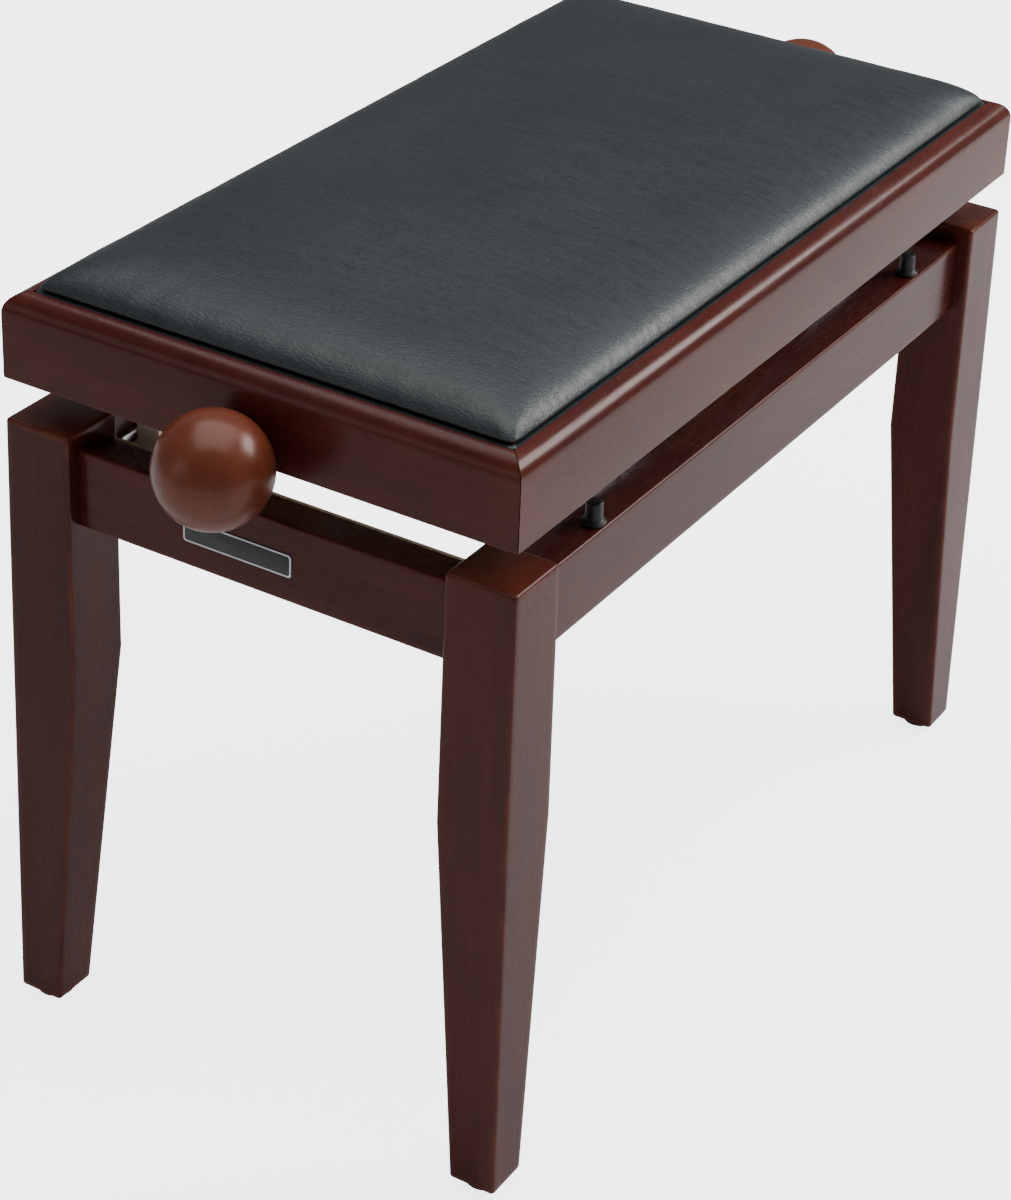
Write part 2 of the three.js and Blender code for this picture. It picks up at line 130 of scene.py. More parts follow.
def rounded_path(
    corners: Array, cut: Array | float, steps: int = 4, fade: float = 0.0
) -> tuple[Array, Array]:
    """Rounds every corner of a closed outline with an arc.

    With P a corner, A and B the points at distance cut from it on its two sides, and w the
    sine of half the angle at P, the arc is
    ((1-s)^2 A + 2 s (1-s) w P + s^2 B) / ((1-s)^2 + 2 s (1-s) w + s^2) for s from 0 to 1.

    Args:
        corners: Points of shape (..., k, 2), in order round the outline.
        cut: Distance from each corner to the ends of its arc.
        steps: Spans in each arc.
        fade: With more than 0, a further point that far beyond each end of the arc.

    Returns:
        The outline's points, of shape (..., n, 2), and their wear: 0.3 + 3.2 s (1 - s), but
        at most 1, on an arc, and 0 beyond it.
    """
    cut = np.broadcast_to(np.asarray(cut, float), corners.shape[:-1])[..., None, None]
    back = np.roll(corners, 1, axis=-2) - corners
    ahead = np.roll(corners, -1, axis=-2) - corners
    back = (back / np.linalg.norm(back, axis=-1, keepdims=True))[..., None, :]
    ahead = (ahead / np.linalg.norm(ahead, axis=-1, keepdims=True))[..., None, :]
    cosine = np.sum(back * ahead, axis=-1, keepdims=True)
    weight = np.sqrt(np.clip((1 - cosine) / 2, 1e-9, 1))
    corner = corners[..., None, :]
    s = np.linspace(0, 1, steps + 1)[:, None]
    first, middle, last = (1 - s) ** 2, 2 * s * (1 - s) * weight, s**2
    arc = first * (corner + back * cut) + middle * corner + last * (corner + ahead * cut)
    points = arc / (first + middle + last)
    worn = np.clip(0.3 + 3.2 * s[:, 0] * (1 - s[:, 0]), 0, 1)
    if fade > 0:
        before, after = corner + back * (cut + fade), corner + ahead * (cut + fade)
        points = np.concatenate([before, points, after], axis=-2)
        worn = np.concatenate([[0], worn, [0]])
    wear = np.broadcast_to(worn, points.shape[:-1])
    count = points.shape[-3] * points.shape[-2]
    return points.reshape(*points.shape[:-3], count, 2), wear.reshape(*wear.shape[:-2], count)


def rectangle(low: Array, high: Array) -> Array:
    """Corners of a rectangle, counter-clockwise, from arrays (..., 2) of its lowest and highest."""
    x0, y0, x1, y1 = low[..., 0], low[..., 1], high[..., 0], high[..., 1]
    return np.stack([np.stack([x0, x1, x1, x0], -1), np.stack([y0, y0, y1, y1], -1)], -1)


def end_rounding(length: float, edge: float, steps: int = 3) -> tuple[Array, Array, Array]:
    """Stations along a bar whose two ends are rounded.

    A station at turn a of the rounding lies edge (1 - cos a) from the end and is drawn in by
    edge (1 - sin a). One more station at each end, 2.5 edge from it, is neither drawn in nor worn.

    Args:
        length: The bar's length.
        edge: Radius of the rounding.
        steps: Spans in each rounding.

    Returns:
        Distance from the start, inset, and wear, one of each for every station.
    """
    turn = np.linspace(0, np.pi / 2, steps + 1)
    along = np.append(edge * (1 - np.cos(turn)), 2.5 * edge)
    inset = np.append(edge * (1 - np.sin(turn)), 0.0)
    worn = np.append(np.ones(steps + 1), 0.0)
    return (
        np.concatenate([along, (length - along)[::-1]]),
        np.concatenate([inset, inset[::-1]]),
        np.concatenate([worn, worn[::-1]]),
    )


def linked(name: str, data: bpy.types.ID) -> Piece:
    """A new object of that name and data, linked to the scene."""
    piece = bpy.data.objects.new(name, data)
    bpy.context.scene.collection.objects.link(piece)
    return piece


def mark(mesh: bpy.types.Mesh, name: str, values: Array) -> None:
    """Stores a value, or a vector, for every point of a mesh."""
    kind, key = ("FLOAT_VECTOR", "vector") if values.ndim == 2 else ("FLOAT", "value")
    layer = mesh.attributes.new(name, kind, "POINT")
    layer.data.foreach_set(key, values.astype(np.float32).ravel())


def build(
    name: str, points: Array, faces: list, sharp: float = SHARP, wear: Array | None = None
) -> Piece:
    """Puts points and faces into a new object that is smooth between its sharp edges.

    Args:
        name: The object's name.
        points: Array of shape (..., 3).
        faces: Lists of point numbers.
        sharp: Angle over which an edge stays crisp.
        wear: How worn each point is, from 0 to 1.

    Returns:
        The object, linked to the scene.
    """
    mesh = bpy.data.meshes.new(name)
    mesh.from_pydata(points.reshape(-1, 3).tolist(), [], faces)
    mesh.validate()
    values = np.zeros(len(mesh.vertices)) if wear is None else np.asarray(wear, float).ravel()
    mark(mesh, WEAR, values)
    mesh.shade_smooth()
    mesh.set_sharp_from_angle(angle=np.radians(sharp))
    return linked(name, mesh)


def grid_faces(rows: int, columns: int, closed: bool = False) -> list:
    """Four-sided faces between rows of points that each close on themselves.

    Face (i, j) joins point j and j + 1 of row i to the same points of row i + 1; columns wrap
    round, and so do rows when closed is set.
    """
    index = np.arange(rows * columns).reshape(rows, columns)
    below = index if closed else index[:-1]
    above = np.roll(index, -1, axis=0) if closed else index[1:]
    quads = [below, np.roll(below, -1, axis=1), np.roll(above, -1, axis=1), above]
    return np.stack(quads, -1).reshape(-1, 4).tolist()


def sheet_faces(rows: int, columns: int) -> tuple[Array, list]:
    """Four-sided faces of an open sheet of points, which look up if its rows step along X.

    Returns:
        The numbers of the points, of shape (rows, columns), and the faces.
    """
    index = np.arange(rows * columns).reshape(rows, columns)
    quads = [index[:-1, :-1], index[1:, :-1], index[1:, 1:], index[:-1, 1:]]
    return index, np.stack(quads, -1).reshape(-1, 4).tolist()


def loft(name: str, rings: Array, wear: Array | None = None, sharp: float = SHARP) -> Piece:
    """A closed skin over rings of points of shape (rows, columns, 3), with flat faces at both ends.

    Each ring runs counter-clockwise seen from the side of the last one.
    """
    rows, columns = rings.shape[:2]
    last = (rows - 1) * columns
    caps = [list(range(columns))[::-1], list(range(last, last + columns))]
    return build(name, rings, grid_faces(rows, columns) + caps, sharp, wear)


def full_turn(steps: int) -> Array:
    """Angles spaced evenly round a full turn."""
    return np.linspace(0, TURN, steps, endpoint=False)


def spokes(axis: Array, angle: Array) -> Array:
    """Unit vectors square to an axis: cos a first + sin a second, by the right hand about it."""
    side = Z_AXIS if abs(axis[2]) < 0.9 else X_AXIS
    first = np.cross(side, axis)
    first = first / np.linalg.norm(first)
    return np.cos(angle)[:, None] * first + np.sin(angle)[:, None] * np.cross(axis, first)


def turned(
    name: str,
    profile: Sequence[Sequence[float]],
    centre: Array,
    axis: Array,
    steps: int = ROUND_STEPS,
) -> Piece:
    """A turned piece: the profile's radius r at height h, carried once round the axis.

    A point is centre + h axis + r spoke; see spokes.

    Args:
        name: The object's name.
        profile: Pairs of radius and height. One that starts and ends on the axis gets a pole
            at both ends, and any other is closed on itself, as a ring is.
        centre: The point of the axis at height 0.
        axis: Unit vector of the axis.
        steps: Sides of the turned piece.

    Returns:
        The new object.
    """
    line = np.asarray(profile, float)
    poles = line[0, 0] < 1e-9 and line[-1, 0] < 1e-9
    rims = line[1:-1] if poles else line
    around = spokes(axis, full_turn(steps))
    rings = centre + rims[:, 1, None, None] * axis + rims[:, 0, None, None] * around
    faces = grid_faces(len(rims), steps, closed=not poles)
    points = rings.reshape(-1, 3)
    if poles:
        bottom, top = len(points), len(points) + 1
        j = np.arange(steps)
        ahead = (j + 1) % steps
        lift = (len(rims) - 1) * steps
        faces += np.stack([ahead, j, np.full(steps, bottom)], -1).tolist()
        faces += np.stack([lift + j, lift + ahead, np.full(steps, top)], -1).tolist()
        tips = centre + line[[0, -1], 1, None] * axis
        points = np.concatenate([points, tips])
    return build(name, points, faces)


def softened(profile: Sequence[Sequence[float]], cut: float, steps: int = 3) -> Array:
    """A turned piece's profile with every corner off the axis rounded; see rounded_path."""
    line = np.asarray(profile, float)
    rounded, _ = rounded_path(line, np.where(line[:, 0] < 1e-9, 1e-7, cut), steps)
    kept = rounded.reshape(len(line), steps + 1, 2)
    body = kept[1:-1].reshape(-1, 2)
    return np.concatenate([line[:1], body, line[-1:]])


def slab(
    name: str,
    outline: Array,
    thickness: float,
    origin: Array,
    across_axis: Array,
    up_axis: Array,
    edge: float = 0.35 * MM,
) -> Piece:
    """A flat plate: an outline carried through its thickness, with its edges eased.

    Ring k is the outline moved inwards by inset_k along its normals, at depth_k through the
    plate. A point (x, y, z) of it lies at origin + x across + y up + z (across x up).

    Args:
        name: The object's name.
        outline: Points of shape (n, 2), counter-clockwise.
        thickness: Through the plate.
        origin: Where the outline's (0, 0) lies, on the plate's first face.
        across_axis: Direction of the outline's x.
        up_axis: Direction of the outline's y.
        edge: How far the edges are eased.

    Returns:
        The new object.
    """
    ahead = np.roll(outline, -1, axis=0) - outline
    ahead = ahead / np.maximum(np.linalg.norm(ahead, axis=1, keepdims=True), 1e-12)
    normal = np.stack([-ahead[:, 1], ahead[:, 0]], 1)
    inward = normal + np.roll(normal, 1, axis=0)
    inward = inward / np.maximum(np.sum(inward * normal, axis=1, keepdims=True), 0.2)
    depth, inset, _ = end_rounding(thickness, edge, steps=2)
    rings = outline + inset[:, None, None] * inward
    out_axis = np.cross(across_axis, up_axis)
    points = (
        origin
        + rings[..., 0, None] * across_axis
        + rings[..., 1, None] * up_axis
        + depth[:, None, None] * out_axis
    )
    return loft(name, points, sharp=50.0)


def bar(
    name: str, extent: Extent, along: int, edge: float, end_edge: float, fade: float = 3 * MM
) -> Piece:
    """A straight bar with rounded edges that fills a box.

    Its section is a rectangle with rounded corners, carried along one axis and drawn in at
    both ends as end_rounding gives.

    Args:
        name: The object's name.
        extent: The box.
        along: Number of the axis along which the bar runs.
        edge: Radius of the long edges.
        end_edge: Radius at the two ends.
        fade: How far the wear of an edge reaches beyond its rounding.

    Returns:
        The new object.
    """
    u, v = [(1, 2), (2, 0), (0, 1)][along]
    station, inset, end_wear = end_rounding(extent.size[along], end_edge)
    low = np.stack([extent.low[u] + inset, extent.low[v] + inset], -1)
    high = np.stack([extent.high[u] - inset, extent.high[v] - inset], -1)
    section, wear = rounded_path(rectangle(low, high), edge, steps=4, fade=fade)
    rings = np.empty((*section.shape[:2], 3))
    rings[..., u], rings[..., v] = section[..., 0], section[..., 1]
    rings[..., along] = (extent.low[along] + station)[:, None]
    return loft(name, rings, np.maximum(wear, 0.8 * end_wear[:, None]))


def settle(piece: Piece) -> None:
    """Applies a piece's modifiers to its mesh."""
    graph = bpy.context.evaluated_depsgraph_get()
    mesh = bpy.data.meshes.new_from_object(piece.evaluated_get(graph))
    piece.modifiers.clear()
    old, piece.data = piece.data, mesh
    bpy.data.meshes.remove(old)
    mesh.name = piece.name


def carve(piece: Piece, cutters: Sequence[Piece]) -> None:
    """Cuts the cutters out of a piece and removes them."""
    for cutter in cutters:
        tool = piece.modifiers.new("carve", "BOOLEAN")
        tool.operation, tool.solver, tool.object = "DIFFERENCE", "EXACT", cutter
    settle(piece)
    for cutter in cutters:
        bpy.data.objects.remove(cutter)
    piece.data.shade_smooth()
    piece.data.set_sharp_from_angle(angle=np.radians(SHARP))


def joined(name: str, parts: Sequence[Piece]) -> Piece:
    """One piece made of several, each left a closed skin of its own."""
    whole = bmesh.new()
    for part in parts:
        whole.from_mesh(part.data)
    mesh = bpy.data.meshes.new(name)
    whole.to_mesh(mesh)
    whole.free()
    for part in parts:
        bpy.data.objects.remove(part)
    mesh.set_sharp_from_angle(angle=np.radians(45))
    return linked(name, mesh)


def drill(
    place: Array, axis: Array, radius: float, length: float, steps: int = ROUND_STEPS
) -> Piece:
    """A round cutter that starts at a place and runs along an axis."""
    profile = [(0, 0), (radius, 0), (radius, length), (0, length)]
    return turned("cutter", profile, place, axis, steps)


def coordinates(piece: Piece) -> Array:
    """A mesh's points as an array of shape (n, 3)."""
    values = np.empty(len(piece.data.vertices) * 3, np.float32)
    piece.data.vertices.foreach_get("co", values)
    return values.reshape(-1, 3).astype(float)


def evened(piece: Piece, values: Array, rounds: int) -> Array:
    """Evens values over a mesh: each round gives a point the mean of its own and its neighbours'.

    Args:
        piece: The mesh.
        values: Array of shape (points, n).
        rounds: How many times.

    Returns:
        The evened values.
    """
    ends = np.empty(len(piece.data.edges) * 2, np.int32)
    piece.data.edges.foreach_get("vertices", ends)
    first, second = ends.reshape(-1, 2).T
    count = np.bincount(ends, minlength=len(values))[:, None] + 1.0
    for _ in range(rounds):
        total = values.copy()
        np.add.at(total, first, values[second])
        np.add.at(total, second, values[first])
        values = total / count
    return values


def put(piece: Piece, points: Array) -> None:
    """Writes an array of points into a mesh."""
    piece.data.vertices.foreach_set("co", points.astype(np.float32).ravel())
    piece.data.update()


def arc_points(
    centre: Sequence[float], radius: float, start: float, end: float, steps: int = 16
) -> Array:
    """Points along an arc: centre + radius (cos a, sin a), with a from start to end degrees."""
    a = np.radians(np.linspace(start, end, steps + 1))
    return np.asarray(centre) + radius * np.stack([np.cos(a), np.sin(a)], 1)


def long_round(x0: float, x1: float, y: float, radius: float) -> Array:
    """The outline of a strip or a long hole whose round ends lie about (x0, y) and (x1, y)."""
    ends = [arc_points((x1, y), radius, -90, 90), arc_points((x0, y), radius, 90, 270)]
    return np.concatenate(ends)


# Finishes -----------------------------------------------------------------------------------


class Grain(Enum):
    """The axis along which a piece's wood grain runs, as the order in which axes are read."""

    X = (0, 1, 2)
    Y = (1, 0, 2)
    Z = (2, 0, 1)


class Graph:
    """Adds nodes to a tree and joins them, in few words."""

    def __init__(self, tree: bpy.types.NodeTree) -> None:
        """Starts on a node tree."""
        self.tree = tree

    def feed(self, node: Node, inputs: dict[str | int, Any]) -> None:
        """Gives a node's inputs, by name or number, a value or the socket that feeds them."""
        for key, value in inputs.items():
            if isinstance(value, bpy.types.NodeSocket):
                self.tree.links.new(value, node.inputs[key])
            else:
                node.inputs[key].default_value = value

    def node(self, kind: str, inputs: dict[str | int, Any] | None = None, **settings: Any) -> Node:
        """Adds a node.

        Args:
            kind: The node's type, without its ShaderNode prefix.
            inputs: What its inputs get; see feed.
            **settings: The node's own properties.

        Returns:
            The node.
        """
        node = self.tree.nodes.new(f"ShaderNode{kind}")
        for key, value in settings.items():
            setattr(node, key, value)
        self.feed(node, inputs or {})
        return node

    def group(self, tree: bpy.types.NodeTree, inputs: dict[str, Any]) -> Node:
        """Places a node group."""
        return self.node("Group", inputs, node_tree=tree)

    def coordinates(self) -> Socket:
        """The object's own coordinates."""
        return self.node("TexCoord").outputs["Object"]

    def math(self, operation: str, first: Any, second: Any = 0.0) -> Socket:
        """The result of a calculation with one or two values."""
        return self.node("Math", {0: first, 1: second}, operation=operation).outputs[0]

    def plus(self, first: Any, second: Any) -> Socket:
        """The sum of two values."""
        return self.math("ADD", first, second)

    def times(self, first: Any, second: Any) -> Socket:
        """The product of two values."""
        return self.math("MULTIPLY", first, second)

    def weighted(self, *terms: tuple[Socket, float]) -> Socket:
        """The sum of several values, each multiplied by its weight."""
        total, *others = [self.times(value, weight) for value, weight in terms]
        for other in others:
            total = self.plus(total, other)
        return total

    def bump(self, height: Socket, strength: float, distance: float) -> Socket:
        """The normal of a surface that a height dents by up to a distance."""
        inputs = {"Height": height, "Strength": strength, "Distance": distance}
        return self.node("Bump", inputs).outputs[0]

    def spread(self, vector: Socket, scale: Sequence[float]) -> Socket:
        """A vector multiplied axis by axis."""
        return self.node("VectorMath", {0: vector, 1: scale}, operation="MULTIPLY").outputs[0]

    def noise(
        self, vector: Socket, scale: Any, detail: float = 2.0, distortion: float = 0.0
    ) -> Socket:
        """The value of a noise texture."""
        inputs = {"Vector": vector, "Scale": scale, "Detail": detail, "Distortion": distortion}
        return self.node("TexNoise", inputs).outputs[0]

    def remap(
        self, value: Socket, low: float, high: float, to_low: float = 0.0, to_high: float = 1.0
    ) -> Socket:
        """A value spread from one range to another, and held inside it."""
        inputs = {0: value, 1: low, 2: high, 3: to_low, 4: to_high}
        return self.node("MapRange", inputs).outputs[0]

    def mix(self, share: Socket, first: Any, second: Any) -> Socket:
        """Two colours mixed by a share."""
        inputs = {0: share, 6: opaque(first), 7: opaque(second)}
        return self.node("Mix", inputs, data_type="RGBA").outputs[2]

    def ramp(self, value: Socket, stops: Sequence[tuple[float, Colour]]) -> Socket:
        """A colour read from stops along a value."""
        node = self.node("ValToRGB", {0: value})
        elements = node.color_ramp.elements
        while len(elements) < len(stops):
            elements.new(0.5)
        for element, (place, colour) in zip(elements, stops):
            element.position = place
            element.color = opaque(colour)
        return node.outputs[0]


def opaque(colour: Any) -> Any:
    """A colour of three numbers with full opacity, and anything else as it is."""
    return (*colour, 1.0) if isinstance(colour, tuple) and len(colour) == 3 else colour


def new_material(name: str) -> tuple[bpy.types.Material, Graph, Node]:
    """A new material, its graph and its Principled shader."""
    material = bpy.data.materials.new(name)
    material.use_nodes = True
    shader = material.node_tree.nodes["Principled BSDF"]
    return material, Graph(material.node_tree), shader


def new_group(
    name: str, inputs: dict[str, float], outputs: Sequence[str]
) -> tuple[Graph, list[Socket], Node]:
    """Starts a shader node group.

    Args:
        name: The group's name.
        inputs: The names of the inputs that follow the vector, and their values.
        outputs: Names of the outputs, which all hold values.

    Returns:
        The group's graph, its inputs (the vector first), and its output node.
    """
    tree = bpy.data.node_groups.new(name, "ShaderNodeTree")
    new_socket, number = tree.interface.new_socket, "NodeSocketFloat"
    new_socket(name="Vector", in_out="INPUT", socket_type="NodeSocketVector")
    for label, value in inputs.items():
        new_socket(name=label, in_out="INPUT", socket_type=number).default_value = value
    for label in outputs:
        new_socket(name=label, in_out="OUTPUT", socket_type=number)
    given = tree.nodes.new("NodeGroupInput").outputs
    return Graph(tree), list(given)[: len(inputs) + 1], tree.nodes.new("NodeGroupOutput")


class Effects:
    """The node groups that several finishes use, each built once."""

    def __init__(self) -> None:
        """Builds the groups."""
        self.grain = self._grain()
        self.edge_wear = self._edge_wear()
        self.dust = self._dust()
        self.speckle = self._speckle()

    def dusted(
        self, graph: Graph, place: Socket, colour: Socket, amount: float, tone: Colour
    ) -> tuple[Socket, Socket]:
        """A colour with dust over it, and the share of the surface that the dust covers."""
        share = graph.group(self.dust, {"Vector": place, "Amount": amount}).outputs[0]
        return graph.mix(share, colour, tone), share

    def _grain(self) -> bpy.types.NodeTree:
        """Wood whose grain runs along the vector's x: broad figure, fine streaks and pores."""
        graph, (place, fineness), result = new_group(
            "wood_grain", {"Fineness": 1.0}, ("Figure", "Pores", "Height")
        )
        scaled = graph.node("VectorMath", {0: place, 3: fineness}, operation="SCALE").outputs[0]
        broad = graph.noise(graph.spread(scaled, (4.0, 38.0, 38.0)), 1.0, 3.0, 0.9)
        streak = graph.noise(graph.spread(scaled, (14.0, 330.0, 330.0)), 1.0, 3.0, 0.3)
        blotch = graph.noise(scaled, 13.0, 2.0)
        figure = graph.weighted((broad, 0.55), (streak, 0.25), (blotch, 0.2))
        flecks = graph.noise(graph.spread(scaled, (75.0, 1900.0, 1900.0)), 1.0, 1.0)
        pores = graph.remap(flecks, 0.60, 0.74)
        pores = graph.times(pores, graph.remap(streak, 0.38, 0.62, 0.25, 1.0))
        height = graph.math("SUBTRACT", graph.times(streak, 0.5), pores)
        graph.feed(result, {"Figure": figure, "Pores": pores, "Height": height})
        return graph.tree

    def _edge_wear(self) -> bpy.types.NodeTree:
        """The mesh's own wear, broken up so that an edge is rubbed unevenly."""
        graph, (place, amount), result = new_group("edge_wear", {"Amount": 1.0}, ("Mask",))
        worn = graph.node("Attribute", attribute_name=WEAR).outputs["Fac"]
        patch = graph.remap(graph.noise(place, 34.0, 4.0, 0.4), 0.34, 0.66, 0.15, 1.0)
        graph.feed(result, {"Mask": graph.times(graph.times(worn, patch), amount)})
        return graph.tree

    def _dust(self) -> bpy.types.NodeTree:
        """Fine dust that lies where a surface looks up."""
        graph, (place, amount), result = new_group("dust", {"Amount": 0.2}, ("Mask",))
        normal = graph.node("NewGeometry").outputs["Normal"]
        up = graph.node("SeparateXYZ", {0: normal}).outputs[2]
        cloud = graph.remap(graph.noise(place, 22.0, 5.0), 0.4, 0.7)
        speck = graph.remap(graph.noise(place, 900.0, 1.0), 0.55, 0.75)
        loose = graph.times(graph.remap(up, 0.55, 1.0), graph.times(cloud, speck))
        graph.feed(result, {"Mask": graph.times(loose, amount)})
        return graph.tree

    def _speckle(self) -> bpy.types.NodeTree:
        """Patches and fine grain of a plated or moulded surface."""
        graph, (place, patch, fine), result = new_group(
            "speckle", {"Patch": 60.0, "Fine": 1400.0}, ("Patches", "Height")
        )
        patches, height = graph.noise(place, patch, 4.0, 0.6), graph.noise(place, fine, 1.0)
        graph.feed(result, {"Patches": patches, "Height": height})
        return graph.tree


@dataclass(frozen=True)
class WoodFinish:
    """Stained and lacquered wood."""

    name: str
    dark: Colour
    middle: Colour
    light: Colour
    pore: Colour
    worn: Colour
    grain: Grain
    fineness: float = 1.0
    roughness: float = 0.22
    coat: float = 0.05
    specular: float = 0.23
    reflection: Colour = (1.0, 0.82, 0.78)
    wear: float = 0.6

    def make(self, effects: Effects) -> bpy.types.Material:
        """Builds the material."""
        material, graph, shader = new_material(self.name)
        place = graph.coordinates()
        read = graph.node("SeparateXYZ", {0: place}).outputs
        order = {index: read[axis] for index, axis in enumerate(self.grain.value)}
        along = graph.node("CombineXYZ", order).outputs[0]
        wood = graph.group(effects.grain, {"Vector": along, "Fineness": self.fineness})
        stops = ((0.30, self.dark), (0.50, self.middle), (0.72, self.light))
        colour = graph.ramp(wood.outputs["Figure"], stops)
        colour = graph.mix(graph.times(wood.outputs["Pores"], 0.55), colour, self.pore)
        worn = graph.group(effects.edge_wear, {"Vector": place, "Amount": self.wear})
        colour = graph.mix(worn.outputs[0], colour, self.worn)
        colour, _ = effects.dusted(graph, place, colour, 0.12, (0.35, 0.32, 0.30))
        cloud = graph.noise(place, 7.0, 3.0)
        rough = graph.remap(cloud, 0.3, 0.7, self.roughness - 0.04, self.roughness + 0.05)
        rough = graph.plus(rough, graph.times(wood.outputs["Pores"], 0.15))
        sockets = {
            "Base Color": colour,
            "Roughness": rough,
            "Normal": graph.bump(wood.outputs["Height"], 0.22, 0.12 * MM),
            "Coat Weight": self.coat,
            "Coat Roughness": 0.24,
            "Specular IOR Level": self.specular,
            "Specular Tint": opaque(self.reflection),
        }
        graph.feed(shader, sockets)
        return material


@dataclass(frozen=True)
class LeatheretteFinish:
    """Embossed, slightly shiny upholstery vinyl."""

    name: str
    ground: Colour
    # Painted shade: the dark colour laid into the crevices between the pebbles.
    crevice_shade: Colour
    sheen: Colour
    roughness: float = 0.43
    specular: float = 0.55

    def make(self, effects: Effects) -> bpy.types.Material:
        """Builds the material: long creases across the seat, fine pebbles with painted shade in
        their crevices, puckers at the edge.
        """
        material, graph, shader = new_material(self.name)
        place = graph.coordinates()
        warp = graph.node("TexNoise", {"Vector": place, "Scale": 90.0, "Detail": 2.0}).outputs[1]
        inputs = {0: warp, 1: (0.006, 0.006, 0.006), 2: place}
        moved = graph.node("VectorMath", inputs, operation="MULTIPLY_ADD").outputs[0]
        inputs = {"Vector": graph.spread(moved, (470.0, 135.0, 470.0)), "Scale": 1.0}
        cells = graph.node("TexVoronoi", inputs, feature="DISTANCE_TO_EDGE").outputs[0]
        pebble = graph.remap(cells, 0.0, 0.22)
        fine = graph.noise(graph.spread(place, (1300.0, 600.0, 1300.0)), 1.0, 2.0)
        long = graph.noise(graph.spread(moved, (260.0, 34.0, 260.0)), 1.0, 3.0)
        pull = graph.node("Attribute", attribute_name=PULL).outputs["Fac"]
        around = graph.node("Attribute", attribute_name=PUCKER).outputs["Vector"]
        pucker = graph.noise(around, 1.0, 3.0, 0.5)
        ridges = graph.math("ABSOLUTE", graph.math("SUBTRACT", pucker, 0.5))
        ridges = graph.times(ridges, pull)
        height = graph.weighted((pebble, 0.35), (fine, 0.22), (long, 0.75), (ridges, 2.2))
        shade = graph.remap(graph.noise(place, 9.0, 2.0), 0.35, 0.65)
        colour = graph.mix(shade, self.ground, self.sheen)
        # Painted shade: near the edges of the pebble cells the colour darkens towards the crevice
        # colour.
        shade_share = graph.remap(cells, 0.0, 0.12, 0.55, 0.0)
        colour = graph.mix(shade_share, colour, self.crevice_shade)
        colour, _ = effects.dusted(graph, place, colour, 0.05, (0.30, 0.30, 0.29))
        rough = graph.remap(long, 0.3, 0.7, self.roughness - 0.05, self.roughness + 0.07)
        sockets = {
            "Base Color": colour,
            "Roughness": rough,
            "Normal": graph.bump(height, 0.5, 0.35 * MM),
            "Specular IOR Level": self.specular,
        }
        graph.feed(shader, sockets)
        return material


@dataclass(frozen=True)
class PlatedFinish:
    """Zinc-plated steel, clear or yellow passivated."""

    name: str
    base: Colour
    tint: Colour
    roughness: float = 0.34
    metallic: float = 1.0

    def make(self, effects: Effects) -> bpy.types.Material:
        """Builds the material: cloudy tint, uneven gloss, rolled grain and dulled spots."""
        material, graph, shader = new_material(self.name)
        place = graph.coordinates()
        inputs = {"Vector": place, "Patch": 45.0, "Fine": 1500.0}
        speckle = graph.group(effects.speckle, inputs)
        patches = speckle.outputs["Patches"]
        rolled = graph.noise(graph.spread(place, (30.0, 30.0, 900.0)), 1.0, 2.0)
        colour = graph.mix(graph.remap(patches, 0.36, 0.64), self.base, self.tint)
        colour, dust = effects.dusted(graph, place, colour, 0.35, (0.40, 0.38, 0.35))
        rough = graph.remap(patches, 0.3, 0.7, self.roughness - 0.08, self.roughness + 0.12)
        rough = graph.plus(rough, graph.times(rolled, 0.08))
        metal = graph.math("SUBTRACT", self.metallic, dust)
        height = graph.plus(graph.times(rolled, 0.6), speckle.outputs["Height"])
        bump = graph.bump(height, 0.15, 0.05 * MM)
        sockets = {"Base Color": colour, "Roughness": rough, "Metallic": metal, "Normal": bump}
        graph.feed(shader, sockets)
        return material


@dataclass(frozen=True)
class RubberFinish:
    """Moulded black rubber or plastic."""

    name: str
    ground: Colour
    bloom: Colour
    roughness: float = 0.38

    def make(self, effects: Effects) -> bpy.types.Material:
        """Builds the material: a faint grey bloom, scuffed edges and a fine moulded grain."""
        material, graph, shader = new_material(self.name)
        place = graph.coordinates()
        inputs = {"Vector": place, "Patch": 130.0, "Fine": 2600.0}
        speckle = graph.group(effects.speckle, inputs)
        patches = speckle.outputs["Patches"]
        colour = graph.mix(graph.remap(patches, 0.42, 0.7), self.ground, self.bloom)
        rough = graph.remap(patches, 0.3, 0.7, self.roughness - 0.06, self.roughness + 0.12)
        bump = graph.bump(speckle.outputs["Height"], 0.2, 0.05 * MM)
        graph.feed(shader, {"Base Color": colour, "Roughness": rough, "Normal": bump})
        return material


@dataclass(frozen=True)
class PlywoodFinish:
    """Bare plywood, unstained."""

    name: str
    early: Colour
    late: Colour
    ply: float = 2.4 * MM

    def make(self, effects: Effects) -> bpy.types.Material:
        """Builds the material: a broad veneer figure on the faces and plies on the edges."""
        material, graph, shader = new_material(self.name)
        place = graph.coordinates()
        wood = graph.group(effects.grain, {"Vector": place, "Fineness": 0.5})
        colour = graph.mix(graph.remap(wood.outputs["Figure"], 0.35, 0.65), self.early, self.late)
        height = graph.node("SeparateXYZ", {0: place}).outputs[2]
        plies = graph.math("SINE", graph.times(height, TURN / self.ply))
        normal = graph.node("NewGeometry").outputs["Normal"]
        side = graph.node("SeparateXYZ", {0: normal}).outputs[2]
        edge = graph.remap(graph.math("ABSOLUTE", side), 0.2, 0.6, 1.0, 0.0)
        shade = graph.times(graph.remap(plies, -0.4, 0.4), graph.times(edge, 0.6))
        colour = graph.mix(shade, colour, (0.16, 0.08, 0.035))
        bump = graph.bump(wood.outputs["Height"], 0.3, 0.15 * MM)
        rough = graph.remap(wood.outputs["Figure"], 0.3, 0.7, 0.65, 0.8)
        graph.feed(shader, {"Base Color": colour, "Roughness": rough, "Normal": bump})
        return material


